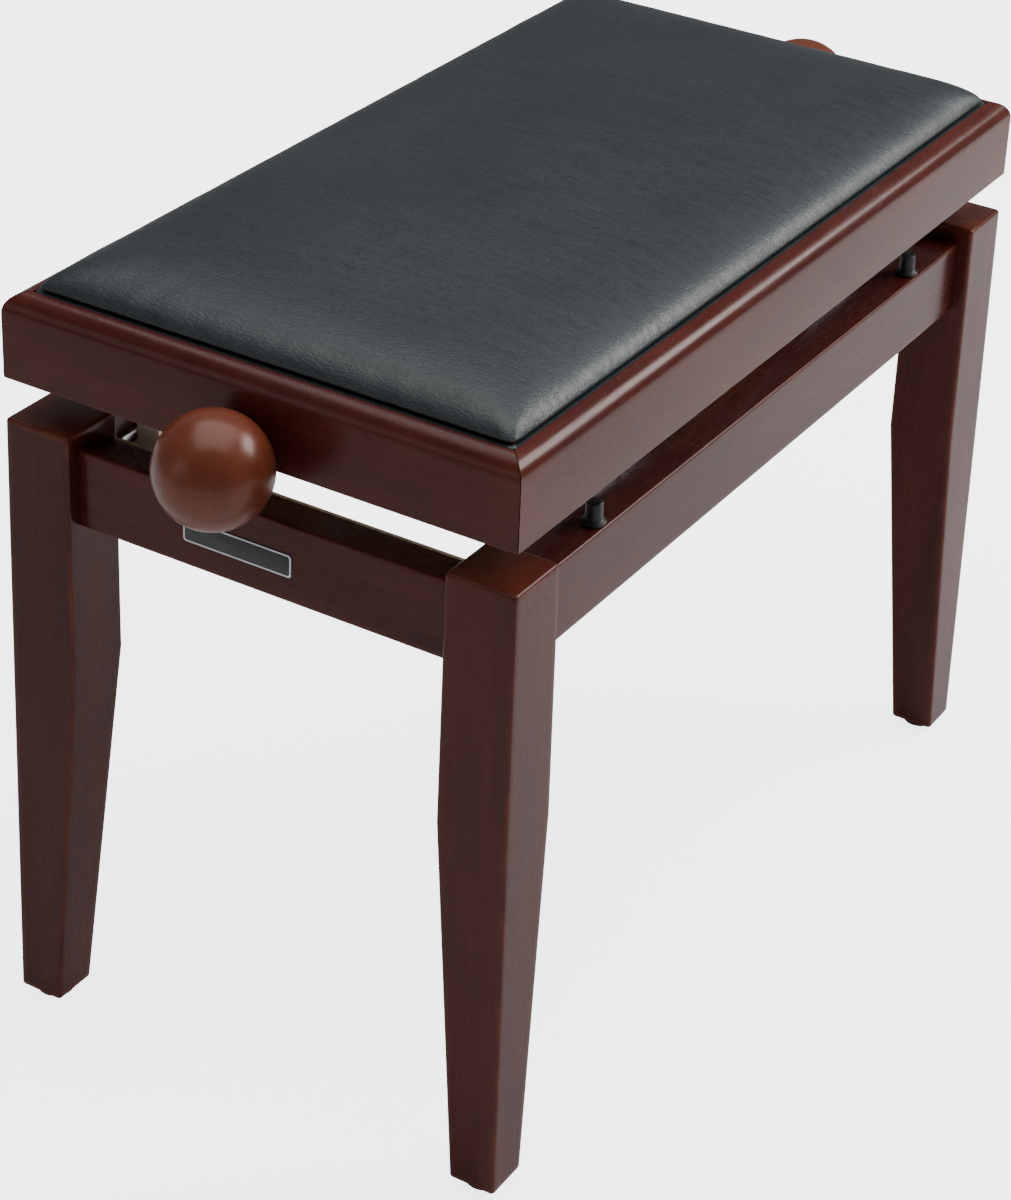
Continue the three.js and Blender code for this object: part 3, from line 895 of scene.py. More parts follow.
@dataclass
class Finishes:
    """All finishes of the bench, each made the first time that it is asked for."""

    effects: Effects = field(default_factory=Effects)
    made: dict[str, bpy.types.Material] = field(default_factory=dict)

    def wood(self, grain: Grain) -> bpy.types.Material:
        """Mahogany-stained wood with its grain along an axis."""
        finish = WoodFinish(
            name=f"mahogany_stain_{grain.name.lower()}",
            dark=(0.033, 0.0052, 0.0043),
            middle=(0.058, 0.0095, 0.0075),
            light=(0.090, 0.0160, 0.0115),
            pore=(0.012, 0.0030, 0.0026),
            worn=(0.160, 0.0380, 0.0170),
            grain=grain,
        )
        return self._once(finish)

    def knob_wood(self) -> bpy.types.Material:
        """Lighter stained wood of the turned knobs."""
        finish = WoodFinish(
            name="knob_stain",
            dark=(0.105, 0.0215, 0.0095),
            middle=(0.140, 0.0310, 0.0130),
            light=(0.175, 0.0430, 0.0180),
            pore=(0.048, 0.0100, 0.0055),
            worn=(0.22, 0.065, 0.030),
            grain=Grain.Z,
            fineness=1.6,
            roughness=0.29,
            specular=0.44,
        )
        return self._once(finish)

    def leatherette(self) -> bpy.types.Material:
        """Dark slate upholstery."""
        finish = LeatheretteFinish(
            name="slate_leatherette",
            ground=(0.0118, 0.0170, 0.0205),
            # The darkest colour is painted shade for the crevices between the pebbles.
            crevice_shade=(0.0045, 0.0070, 0.0085),
            sheen=(0.0170, 0.0238, 0.0275),
        )
        return self._once(finish)

    def zinc(self) -> bpy.types.Material:
        """Bright zinc plating."""
        return self._once(PlatedFinish("bright_plating", (0.60, 0.61, 0.63), (0.50, 0.52, 0.56)))

    def yellow_zinc(self) -> bpy.types.Material:
        """Yellow passivated zinc, uneven in tint."""
        finish = PlatedFinish(
            name="yellow_plating",
            base=(0.95, 0.90, 0.62),
            tint=(0.93, 0.84, 0.66),
            roughness=0.42,
            metallic=0.25,
        )
        return self._once(finish)

    def rubber(self) -> bpy.types.Material:
        """Black rubber."""
        ground, bloom = (0.008, 0.0085, 0.009), (0.022, 0.023, 0.024)
        return self._once(RubberFinish("black_moulding", ground, bloom))

    def plywood(self) -> bpy.types.Material:
        """The board under the padding."""
        return self._once(PlywoodFinish("bare_plywood", (0.46, 0.31, 0.17), (0.34, 0.20, 0.10)))

    def _once(self, finish: Any) -> bpy.types.Material:
        """A finish's material, made if there is none yet."""
        if finish.name not in self.made:
            self.made[finish.name] = finish.make(self.effects)
        return self.made[finish.name]


def dress(
    piece: Piece,
    material: bpy.types.Material,
    body: str,
    nodes: Sequence[str] = (),
) -> None:
    """Gives a new piece its material, in its one slot, and its body, and hides the nodes that it
    replaces.

    Args:
        piece: The piece, in place.
        material: Its material.
        body: The body that it rides on.
        nodes: The nodes that it replaces.
    """
    piece.data.materials.clear()
    piece.data.materials.append(material)
    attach(piece, body)
    if nodes:
        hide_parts(*nodes)
    log.info("%s: %d faces, rides on %s", piece.name, len(piece.data.polygons), body)


# Base ---------------------------------------------------------------------------------------


@dataclass
class Base:
    """Four legs on glides, four aprons, four bumpers and a blank plate."""

    finishes: Finishes
    top_width: float = 40 * MM
    foot_width: float = 27 * MM
    splay: float = 3 * MM
    straight: float = 142 * MM
    leg_edge: float = 1.8 * MM
    apron_edge: float = 1.4 * MM
    plate_size: tuple[float, float, float] = (66 * MM, 13 * MM, 0.6 * MM)
    plate_middle: tuple[float, float] = (13.5 * MM, 331 * MM)
    plate_rim: float = 1.1 * MM

    def build(self) -> None:
        """Builds the base."""
        for corner in CORNERS:
            self._leg(corner)
            self._glide(corner)
            self._bumper(corner)
        for side in SIDES:
            self._apron(side, 0, Grain.X)
        for end in ENDS:
            self._apron(end, 1, Grain.Y)
        self._plate()

    def _leg(self, corner: str) -> None:
        """A leg: a rounded square carried up, whose depth and splay follow its height.

        At height z the outer faces stand splay (top - z) / length beyond the top ones, and the
        inner faces lie at depth d inside them: d is top_width down to the end of the straight
        part, and falls evenly from there to foot_width - splay at the floor.
        """
        extent = Extent.of(f"leg_{corner}")
        sign = np.array([extent.sign(0), extent.sign(1)])
        outer = np.where(sign > 0, extent.high[:2], -extent.low[:2]) - self.splay
        bottom, top = extent.low[2], extent.high[2]
        rise, inset, end_wear = end_rounding(top - bottom, self.leg_edge)
        half = len(rise) // 2
        knee = top - bottom - self.straight
        rise = np.insert(rise, half, [knee - 2 * MM, knee, knee + 2 * MM])
        inset = np.insert(inset, half, [0.0] * 3)
        end_wear = np.insert(end_wear, half, [0.0] * 3)
        splay = self.splay * (top - bottom - rise) / (top - bottom)
        share = np.clip((knee - rise) / knee, 0, 1)
        depth = self.top_width + share * (self.foot_width - self.splay - self.top_width)
        far = outer + (splay - inset)[:, None]
        near = outer - (depth - inset)[:, None]
        low, high = np.minimum(far * sign, near * sign), np.maximum(far * sign, near * sign)
        section, wear = rounded_path(rectangle(low, high), self.leg_edge, steps=4, fade=3 * MM)
        level = np.broadcast_to((bottom + rise)[:, None, None], (*section.shape[:2], 1))
        rings = np.concatenate([section, level], -1)
        leg = loft(f"{corner}_leg", rings, np.maximum(wear, end_wear[:, None]), sharp=50.0)
        dress(leg, self.finishes.wood(Grain.Z), "base", [f"leg_{corner}"])

    def _glide(self, corner: str) -> None:
        """A glide under a leg: a domed disc with a rolled rim."""
        extent = Extent.of(f"glide_{corner}")
        r, h = extent.size[0] / 2, extent.size[2]
        floor = np.array([*extent.centre[:2], extent.low[2]])
        profile = [(0, 0), (0.72, 0), (0.97, 0.28), (1, 0.55), (0.93, 1), (0, 1)] * np.array([r, h])
        glide = turned(f"{corner}_glide", softened(profile, 0.5 * MM), floor, Z_AXIS)
        dress(glide, self.finishes.rubber(), "base", [f"glide_{corner}"])

    def _bumper(self, corner: str) -> None:
        """A bumper on a long apron: a flange, and a peg that narrows a little to a rounded top."""
        extent = Extent.of(f"bumper_{corner}")
        r, h = extent.size[0] / 2, extent.size[2]
        floor = np.array([*extent.centre[:2], extent.low[2]])
        neck = 0.72 * r
        profile = [(0, 0), (r, 0), (r, 2.2 * MM), (neck, 2.6 * MM), (neck * 0.93, h), (0, h)]
        bumper = turned(f"{corner}_bumper", softened(profile, 0.9 * MM), floor, Z_AXIS)
        dress(bumper, self.finishes.rubber(), "base", [f"bumper_{corner}"])

    def _apron(self, words: str, along: int, grain: Grain) -> None:
        """An apron: a straight bar with softened edges."""
        node = f"apron_{words}"
        apron = bar(f"{words}_apron", Extent.of(node), along, self.apron_edge, 0.3 * MM)
        dress(apron, self.finishes.wood(grain), "base", [node])

    def _plate(self) -> None:
        """A small blank plate on the left apron, with rounded corners and a dark panel."""
        face = Extent.of("apron_left").low[0]
        width, height, depth = self.plate_size
        middle = np.array([face, *self.plate_middle])
        half = np.array([width, height]) / 2
        outline, _ = rounded_path(rectangle(-half, half), 2 * MM, 6)
        plate = slab("blank_plate", outline, depth, middle, -Y_AXIS, Z_AXIS, 0.2 * MM)
        rim, _ = rounded_path(rectangle(self.plate_rim - half, half - self.plate_rim), 1.4 * MM, 6)
        front = middle - depth * X_AXIS
        panel = slab("plate_field", rim, 0.15 * MM, front, -Y_AXIS, Z_AXIS, 0.05 * MM)
        dress(plate, self.finishes.zinc(), "base")
        dress(panel, self.finishes.rubber(), "base")


# Seat ---------------------------------------------------------------------------------------


@dataclass
class Seat:
    """The mitred frame and the padded cushion on its board."""

    finishes: Finishes
    thickness: float = 22 * MM
    top_radius: float = 10.8 * MM
    lip: float = 11.3 * MM
    rebate: float = 6 * MM
    rail_edges: tuple[float, ...] = (1.5 * MM, 1.2 * MM, 0.5 * MM, 0.2 * MM, 0.4 * MM)
    notch: float = 7.5 * MM
    cover: float = 0.7 * MM
    turn_under: float = 20 * MM
    cushion_corner: float = 6 * MM
    shoulder: float = 60 * MM
    corner_growth: float = 0.5
    profile: tuple[float, float] = (2.6, 1.9)
    crown: float = 2 * MM
    rim: tuple[float, ...] = (0.0, 3 * MM, 7 * MM, 12 * MM, 18 * MM)
    cell: float = 9 * MM
    pressure: float = 4.0
    swelling: float = 2.4 * MM
    frames: int = 10
    pucker_height: float = 0.2 * MM
    pucker_fade: float = 16 * MM
    pucker_reach: float = 44 * MM
    pull_fade: float = 26 * MM
    pull_reach: float = 60 * MM

    def build(self) -> None:
        """Builds the seat."""
        for words, quarter in (("front", 0), ("right", 1), ("back", 2), ("left", 3)):
            self._rail(words, quarter)
        self._board()
        self._cushion()

    def _rail(self, words: str, quarter: int) -> None:
        """A frame rail: its section carried along X, cut at the mitres, then turned into place.

        A point at depth n from the outer face lies at x = +-(half length - n), so both ends
        are cut at 45 degrees. The broad rounding on top is worn less than the other edges.
        """
        node = f"seat_rail_{words}"
        extent = Extent.of(node)
        along = 0 if words in SIDES else 1
        half_length = extent.size[along] / 2
        other = 1 - along
        outer = max(abs(extent.low[other]), abs(extent.high[other]))
        bottom, top = extent.low[2], extent.high[2]
        corners = np.array(
            [
                (0, bottom),
                (self.thickness, bottom),
                (self.thickness, top - self.rebate),
                (self.lip, top - self.rebate),
                (self.lip, top),
                (0, top),
            ]
        )
        cuts, steps = np.array([*self.rail_edges, self.top_radius]), 10
        section, wear = rounded_path(corners, cuts, steps)
        wear[-steps - 1 :] = 0.22
        n, z = section[:, 0], section[:, 1]
        station = np.array([-1, -0.985, 0.985, 1])[:, None]
        limit = half_length - n
        x = np.clip(station * half_length, -limit, limit)
        x = np.where(np.abs(station) < 1, station * (half_length - self.thickness - 3 * MM), x)
        y, level = np.broadcast_to(n - outer, x.shape), np.broadcast_to(z, x.shape)
        ends = np.where(np.abs(station) == 1, 0.55, 0.0)
        turn = quarter * np.pi / 2
        cos, sin = np.cos(turn), np.sin(turn)
        rings = np.stack([cos * x - sin * y, sin * x + cos * y, level], -1)
        rail = loft(f"{words}_seat_rail", rings, np.maximum(wear, ends))
        if along == 1:
            carve(rail, [self._notch(extent)])
        grain = Grain.X if along == 0 else Grain.Y
        dress(rail, self.finishes.wood(grain), "seat", [node])

    def _notch(self, rail: Extent) -> Piece:
        """The shape cut out of an end rail for the spindle: a slot with a round top."""
        spindle = Extent.of("spindle_rod").centre
        low = rail.low[2] - spindle[2] - 2 * MM
        arch = arc_points((0, 0), self.notch, 0, 180)
        outline = np.concatenate([[(-self.notch, low), (self.notch, low)], arch])
        start = np.array([rail.low[0] - 2 * MM, 0, spindle[2]])
        return slab("notch", outline, rail.size[0] + 4 * MM, start, Y_AXIS, Z_AXIS, 0.01 * MM)

    def _board(self) -> None:
        """The plywood board, and the cover that is pulled round its edge and stapled under it."""
        extent = Extent.of("cushion_board")
        core = Extent(extent.low + self.cover, extent.high - self.cover)
        board = bar("seat_board", core, 0, 0.5 * MM, 0.3 * MM, 0.5 * MM)
        dress(board, self.finishes.plywood(), "seat", ["cushion_board"])
        self._wrap(extent)
        underside = extent.low[2]
        for end, way in zip(ENDS, (-1, 1)):
            x = way * (max(extent.high[0], -extent.low[0]) - self.turn_under + 5 * MM)
            for number, y in enumerate(np.linspace(-108, 108, 9) * MM):
                if abs(y) > 40 * MM:
                    self._staple(f"{end}_staple_{number}", np.array([x, y, underside]))

    def _wrap(self, extent: Extent) -> None:
        """The cover round the board's edge.

        Its section, a thin hook, is carried round a rounded rectangle: a point at distance d
        in from the edge follows the rectangle drawn in by d.
        """
        t, deep = self.cover, self.turn_under
        low, high = extent.low[2], extent.high[2]
        hook = np.array(
            [
                (deep, low),
                (deep, low + t),
                (t, low + t),
                (t, high - t),
                (deep / 2, high - t),
                (deep / 2, high),
                (0.3 * MM, high),
                (0, high - 0.6 * MM),
                (0, low + 0.6 * MM),
                (0.3 * MM, low),
            ]
        )
        half = extent.size[:2] / 2
        middle = extent.centre[:2]
        d = hook[:, 0]
        corner = 3 * MM + 0.2 * d
        low_xy, high_xy = middle - half + d[:, None], middle + half - d[:, None]
        rings, _ = rounded_path(rectangle(low_xy, high_xy), corner[:, None], steps=6)
        level = np.broadcast_to(hook[:, 1, None, None], (*rings.shape[:2], 1))
        points = np.concatenate([rings, level], -1)
        wrap = build("cover_edge", points, grid_faces(*points.shape[:2], closed=True), sharp=60.0)
        dress(wrap, self.finishes.leatherette(), "seat")

    def _staple(self, name: str, place: Array) -> None:
        """A staple's crown, pressed against the underside."""
        low = place - np.array([0.5, 4.5, 0.28]) * MM
        high = place + np.array([0.5, 4.5, 0.3]) * MM
        crown = bar(name, Extent(low, high), 1, 0.2 * MM, 0.2 * MM, 0.05 * MM)
        dress(crown, self.finishes.zinc(), "seat")

    def _cushion(self) -> None:
        """The padding: a crowned pillow, swelled by pressure and then drawn in at its edge."""
        extent = Extent.of("cushion")
        piece = self._pillow(extent)
        self._swell(piece, extent)
        smooth = piece.modifiers.new("smooth", "SUBSURF")
        smooth.levels = smooth.render_levels = 2
        settle(piece)
        self._draw_in(piece, extent)
        dress(piece, self.finishes.leatherette(), "seat", ["cushion"])

    def _pillow(self, extent: Extent) -> Piece:
        """The cushion before it swells: a grid over a rounded rectangle, with a flat underside.

        With a and b the distances in from the two nearest edges, a corner's square of side c is
        mapped onto its quarter circle by u' = u sqrt(1 - v^2 / (2 c^2)), u = c - a, v = c - b,
        and the same for v. The top's height over a point at distance d in from the edge is
        H (1 - (1 - min(d / shoulder, 1))^p)^(1/q), and beyond the shoulder it goes on rising
        to the crown. Near the corners the lines of
        equal height are rounded with radius r = c + k d: there d is the larger root
        of (c + (1 + k) d - a)^2 + (c + (1 + k) d - b)^2 = (c + k d)^2.
        """
        half = extent.size[:2] / 2 - 0.1 * MM
        height = extent.size[2] - 4.5 * MM
        c, k = self.cushion_corner, self.corner_growth
        p, q = self.profile
        rim = np.array(self.rim)
        ways = []
        for reach in half:
            inside = reach - rim[-1]
            middle = np.linspace(-inside, inside, round(2 * inside / self.cell) + 1)
            ways.append(np.concatenate([rim[:-1] - reach, middle, (reach - rim[:-1])[::-1]]))
        plan = np.stack(np.meshgrid(*ways, indexing="ij"), -1)
        into = np.maximum(np.abs(plan) - (half - c), 0)
        eased = into * np.sqrt(1 - into[..., ::-1] ** 2 / (2 * c**2))
        plan = np.sign(plan) * (np.minimum(np.abs(plan), half - c) + eased)
        a, b = np.moveaxis(half - np.abs(plan), -1, 0)
        m = 1 + k
        second, first = 2 * m**2 - k**2, 4 * c * m - 2 * m * (a + b) - 2 * c * k
        none = c**2 - 2 * c * (a + b) + a**2 + b**2
        root = (np.sqrt(np.maximum(first**2 - 4 * second * none, 0)) - first) / (2 * second)
        d = np.where(c + m * root > np.maximum(a, b), root, np.minimum(a, b))
        share = np.clip(d / self.shoulder, 0, 1)
        rise = np.maximum(height * (1 - (1 - share) ** p) ** (1 / q), 0.08 * height)
        rise += self.crown * np.clip((d - self.shoulder) / self.shoulder, 0, 1)
        index, faces = sheet_faces(*d.shape)
        loop = np.concatenate([index[0, :-1], index[:-1, -1], index[-1, :0:-1], index[:0:-1, 0]])
        top = np.concatenate([plan, rise[..., None]], -1).reshape(-1, 3)
        ring = index.size + np.arange(len(loop))
        points = np.concatenate([top, top[loop] * np.array([1.0, 1.0, 0.0])])
        points += np.array([*extent.centre[:2], extent.low[2]])
        faces += np.stack([loop, np.roll(loop, -1), np.roll(ring, -1), ring], -1).tolist()
        return build("seat_cushion", points, faces + [ring.tolist()], 180.0)

    def _swell(self, piece: Piece, extent: Extent) -> None:
        """Blows the padding up as cloth under pressure, with its underside held.

        The movement is evened out, and scaled down so that its largest is the swelling.
        """
        start = coordinates(piece)
        held = start[:, 2] < extent.low[2] + 2.6 * MM
        group = piece.vertex_groups.new(name="held")
        group.add(np.flatnonzero(held).tolist(), 1.0, "REPLACE")
        cloth = piece.modifiers.new("padding", "CLOTH")
        settings = cloth.settings
        settings.use_pressure = True
        settings.uniform_pressure_force = self.pressure
        settings.effector_weights.gravity = 0
        settings.vertex_group_mass = "held"
        settings.quality = 4
        cloth.point_cache.frame_start, cloth.point_cache.frame_end = 1, self.frames
        for frame in range(1, self.frames + 1):
            bpy.context.scene.frame_set(frame)
        settle(piece)
        bpy.context.scene.frame_set(1)
        moved = evened(piece, coordinates(piece) - start, 3)
        moved[held] = 0
        most = np.linalg.norm(moved, axis=1).max()
        put(piece, start + moved * min(1.0, self.swelling / max(most, 1e-9)))
        piece.data.shade_smooth()

    def _draw_in(self, piece: Piece, extent: Extent) -> None:
        """Fits the padding to its box, and gives its cover small puckers near the edge.

        Points beyond the rounded rectangle of its edge are brought back onto it. With a the
        angle round the seat, d the distance in from its edge and e the distance to its nearest
        corner, the cover rises by a sum of sines in a, which is multiplied by
        exp(-d / pucker_fade) (0.3 + 1.6 exp(-e / pucker_reach)).
        """
        foot = np.array([*extent.centre[:2], extent.low[2]])
        local = coordinates(piece) - foot
        half = extent.size[:2] / 2 - 0.1 * MM
        top = local[:, 2].max()
        local[:, 2] = np.clip(local[:, 2] * (extent.size[2] - 0.3 * MM) / top, 0, None)
        inner = half - self.cushion_corner
        beyond = np.abs(local[:, :2]) - inner
        corner = np.maximum(beyond, 0)
        reach = np.hypot(*corner.T)
        edge = self.cushion_corner - np.where(reach > 0, reach, beyond.max(axis=1))
        back = np.maximum(-edge, 0) / np.maximum(reach, 1e-9)
        local[:, :2] -= np.sign(local[:, :2]) * corner * back[:, None]
        edge = np.maximum(edge, 0)
        to_corner = np.hypot(*(half - np.abs(local[:, :2])).T)
        angle = np.arctan2(local[:, 1] / half[1], local[:, 0] / half[0])
        lift = np.clip(local[:, 2] / (6 * MM), 0, 1)
        strength = 0.3 + 1.6 * np.exp(-to_corner / self.pucker_reach)
        strength *= np.exp(-edge / self.pucker_fade) * lift
        wave = np.sin(37 * angle + 1.3 * np.sin(5 * angle)) + 0.7 * np.sin(61 * angle + 0.8)
        local[:, 2] += self.pucker_height * wave * strength
        put(piece, local + foot)
        pull = np.exp(-edge / self.pull_fade) * (0.5 + np.exp(-to_corner / self.pull_reach))
        mark(piece.data, PULL, np.clip(pull, 0, 1))
        way = np.stack([24 * np.cos(angle), 24 * np.sin(angle), edge * 28], 1)
        mark(piece.data, PUCKER, way)


# Spindle ------------------------------------------------------------------------------------


@dataclass
class Spindle:
    """The threaded spindle with its ball knobs and collars."""

    finishes: Finishes
    pitch: float = 3 * MM
    depth: float = 0.9 * MM
    bevel: float = 1 * MM
    plain_middle: float = 9 * MM
    thread_end: float = 232 * MM
    knob_radius: float = 30 * MM
    knob_flat: float = 28 * MM
    knob_socket: float = 20 * MM

    def build(self) -> None:
        """Builds the spindle."""
        self._rod()
        for end in ENDS:
            self._knob(end)
            self._collar(end)

    def _rod(self) -> None:
        """The rod, with a right-hand thread on the left half and a left-hand one on the right.

        Its radius is R - depth (0.5 + 0.5 w) where it is threaded, with w = 1.25
        cos(2 pi |x| / pitch + a) held between -1 and 1 and a the angle about +X, and R where
        it is plain.
        """
        extent = Extent.of("spindle_rod")
        radius, half = extent.size[1] / 2, extent.size[0] / 2
        fine = np.arange(-self.thread_end, self.thread_end + 1e-9, self.pitch / 8)
        ends = np.array([half, half - self.bevel, self.thread_end + 0.01 * MM])
        x = np.concatenate([-ends, fine, ends[::-1]])
        plain = np.full_like(x, radius)
        plain[[0, -1]] = radius - self.bevel
        angle = full_turn(32)
        threaded = (np.abs(x) < self.thread_end) & (np.abs(x) > self.plain_middle)
        phase = np.abs(x)[:, None] / self.pitch * TURN + angle
        wave = np.clip(1.25 * np.cos(phase), -1, 1)
        cutting = self.depth * (0.5 + 0.5 * wave) * threaded[:, None]
        r = plain[:, None] - cutting
        along = np.broadcast_to(x[:, None], r.shape)
        rings = np.stack([along, r * np.cos(angle), r * np.sin(angle)], -1)
        rings += np.array([0, *extent.centre[1:]])
        rod = loft("spindle", rings, sharp=70.0)
        dress(rod, self.finishes.zinc(), "spindle", ["spindle_rod"])

    def _knob(self, end: str) -> None:
        """A ball knob: an arc of a circle turned about the spindle, flat towards the seat.

        With R the ball's radius and f the distance of the flat from its middle, the arc runs
        from asin(-f / R) to a right angle; the flat has a bevelled bore.
        """
        node = f"knob_{end}"
        extent = Extent.of(node)
        sign = extent.sign(0)
        radius = self.knob_radius
        far = extent.high[0] if sign > 0 else extent.low[0]
        middle = np.array([far - sign * radius, 0, extent.centre[2]])
        start = np.arcsin(-self.knob_flat / radius)
        turn = np.linspace(start + 0.05, np.pi / 2, 40)
        arc = np.stack([radius * np.cos(turn), radius * np.sin(turn)], 1)
        rod = Extent.of("spindle_rod").size[1] / 2 + 0.3 * MM
        first = radius * np.cos(start)
        flat = [
            (0, self.knob_socket - self.knob_flat),
            (rod, self.knob_socket - self.knob_flat),
            (rod, -self.knob_flat + 1.2 * MM),
            (rod + 1.2 * MM, -self.knob_flat),
            (first - 0.9 * MM, -self.knob_flat),
            (first + 0.1 * MM, -self.knob_flat + 0.2 * MM),
        ]
        arc[-1, 0] = 0
        profile = np.concatenate([flat, arc])
        knob = turned(f"{end}_knob", profile, middle, sign * X_AXIS, 96)
        dress(knob, self.finishes.knob_wood(), "spindle", [node])

    def _collar(self, end: str) -> None:
        """A ring with eased edges, and a set screw in its rim."""
        node = f"collar_{end}"
        extent = Extent.of(node)
        outer, inner = extent.size[2] / 2, Extent.of("spindle_rod").size[1] / 2 + 0.1 * MM
        width = extent.size[0]
        profile = np.array([(inner, 0), (outer, 0), (outer, width), (inner, width)])
        profile, _ = rounded_path(profile, 0.7 * MM, 3)
        start = np.array([extent.low[0], 0, extent.centre[2]])
        ring = turned(f"{end}_collar", profile, start, X_AXIS)
        at = extent.centre + np.array([0, 0, outer - 0.2 * MM])
        screw = socket_screw(f"{end}_set_screw", at, Z_AXIS, 1.9 * MM, 0.5 * MM)
        whole = joined(f"{end}_collar", [ring, screw])
        dress(whole, self.finishes.zinc(), "spindle", [node])


def socket_screw(name: str, place: Array, axis: Array, radius: float, height: float) -> Piece:
    """A screw head with a six-sided socket.

    Ring k lies at height_k, and its radius at angle a is r_k, or for the socket
    r_k cos(30 degrees) / cos(a folded into +-30 degrees), which draws a hexagon.

    Args:
        name: The object's name.
        place: Middle of the face on which the head sits.
        axis: Direction in which the head looks.
        radius: Radius of the head.
        height: Height of the head.

    Returns:
        The new object.
    """
    angle = full_turn(36)
    folded = (angle + np.pi / 6) % (np.pi / 3) - np.pi / 6
    hexagon = np.cos(np.pi / 6) / np.cos(folded)
    circle = np.ones(len(angle))
    rows = [
        (1.0, 0.0, circle),
        (1.0, 0.45, circle),
        (0.93, 0.75, circle),
        (0.78, 0.95, circle),
        (0.62, 1.0, circle),
        (0.50, 1.0, hexagon),
        (0.50, 0.35, hexagon),
    ]
    around = spokes(axis, angle)
    rings = [
        place + height * h * axis + radius * r * (shape[:, None] * around)
        for r, h, shape in rows
    ]
    return loft(name, np.stack(rings), sharp=35.0)


# Lift ---------------------------------------------------------------------------------------


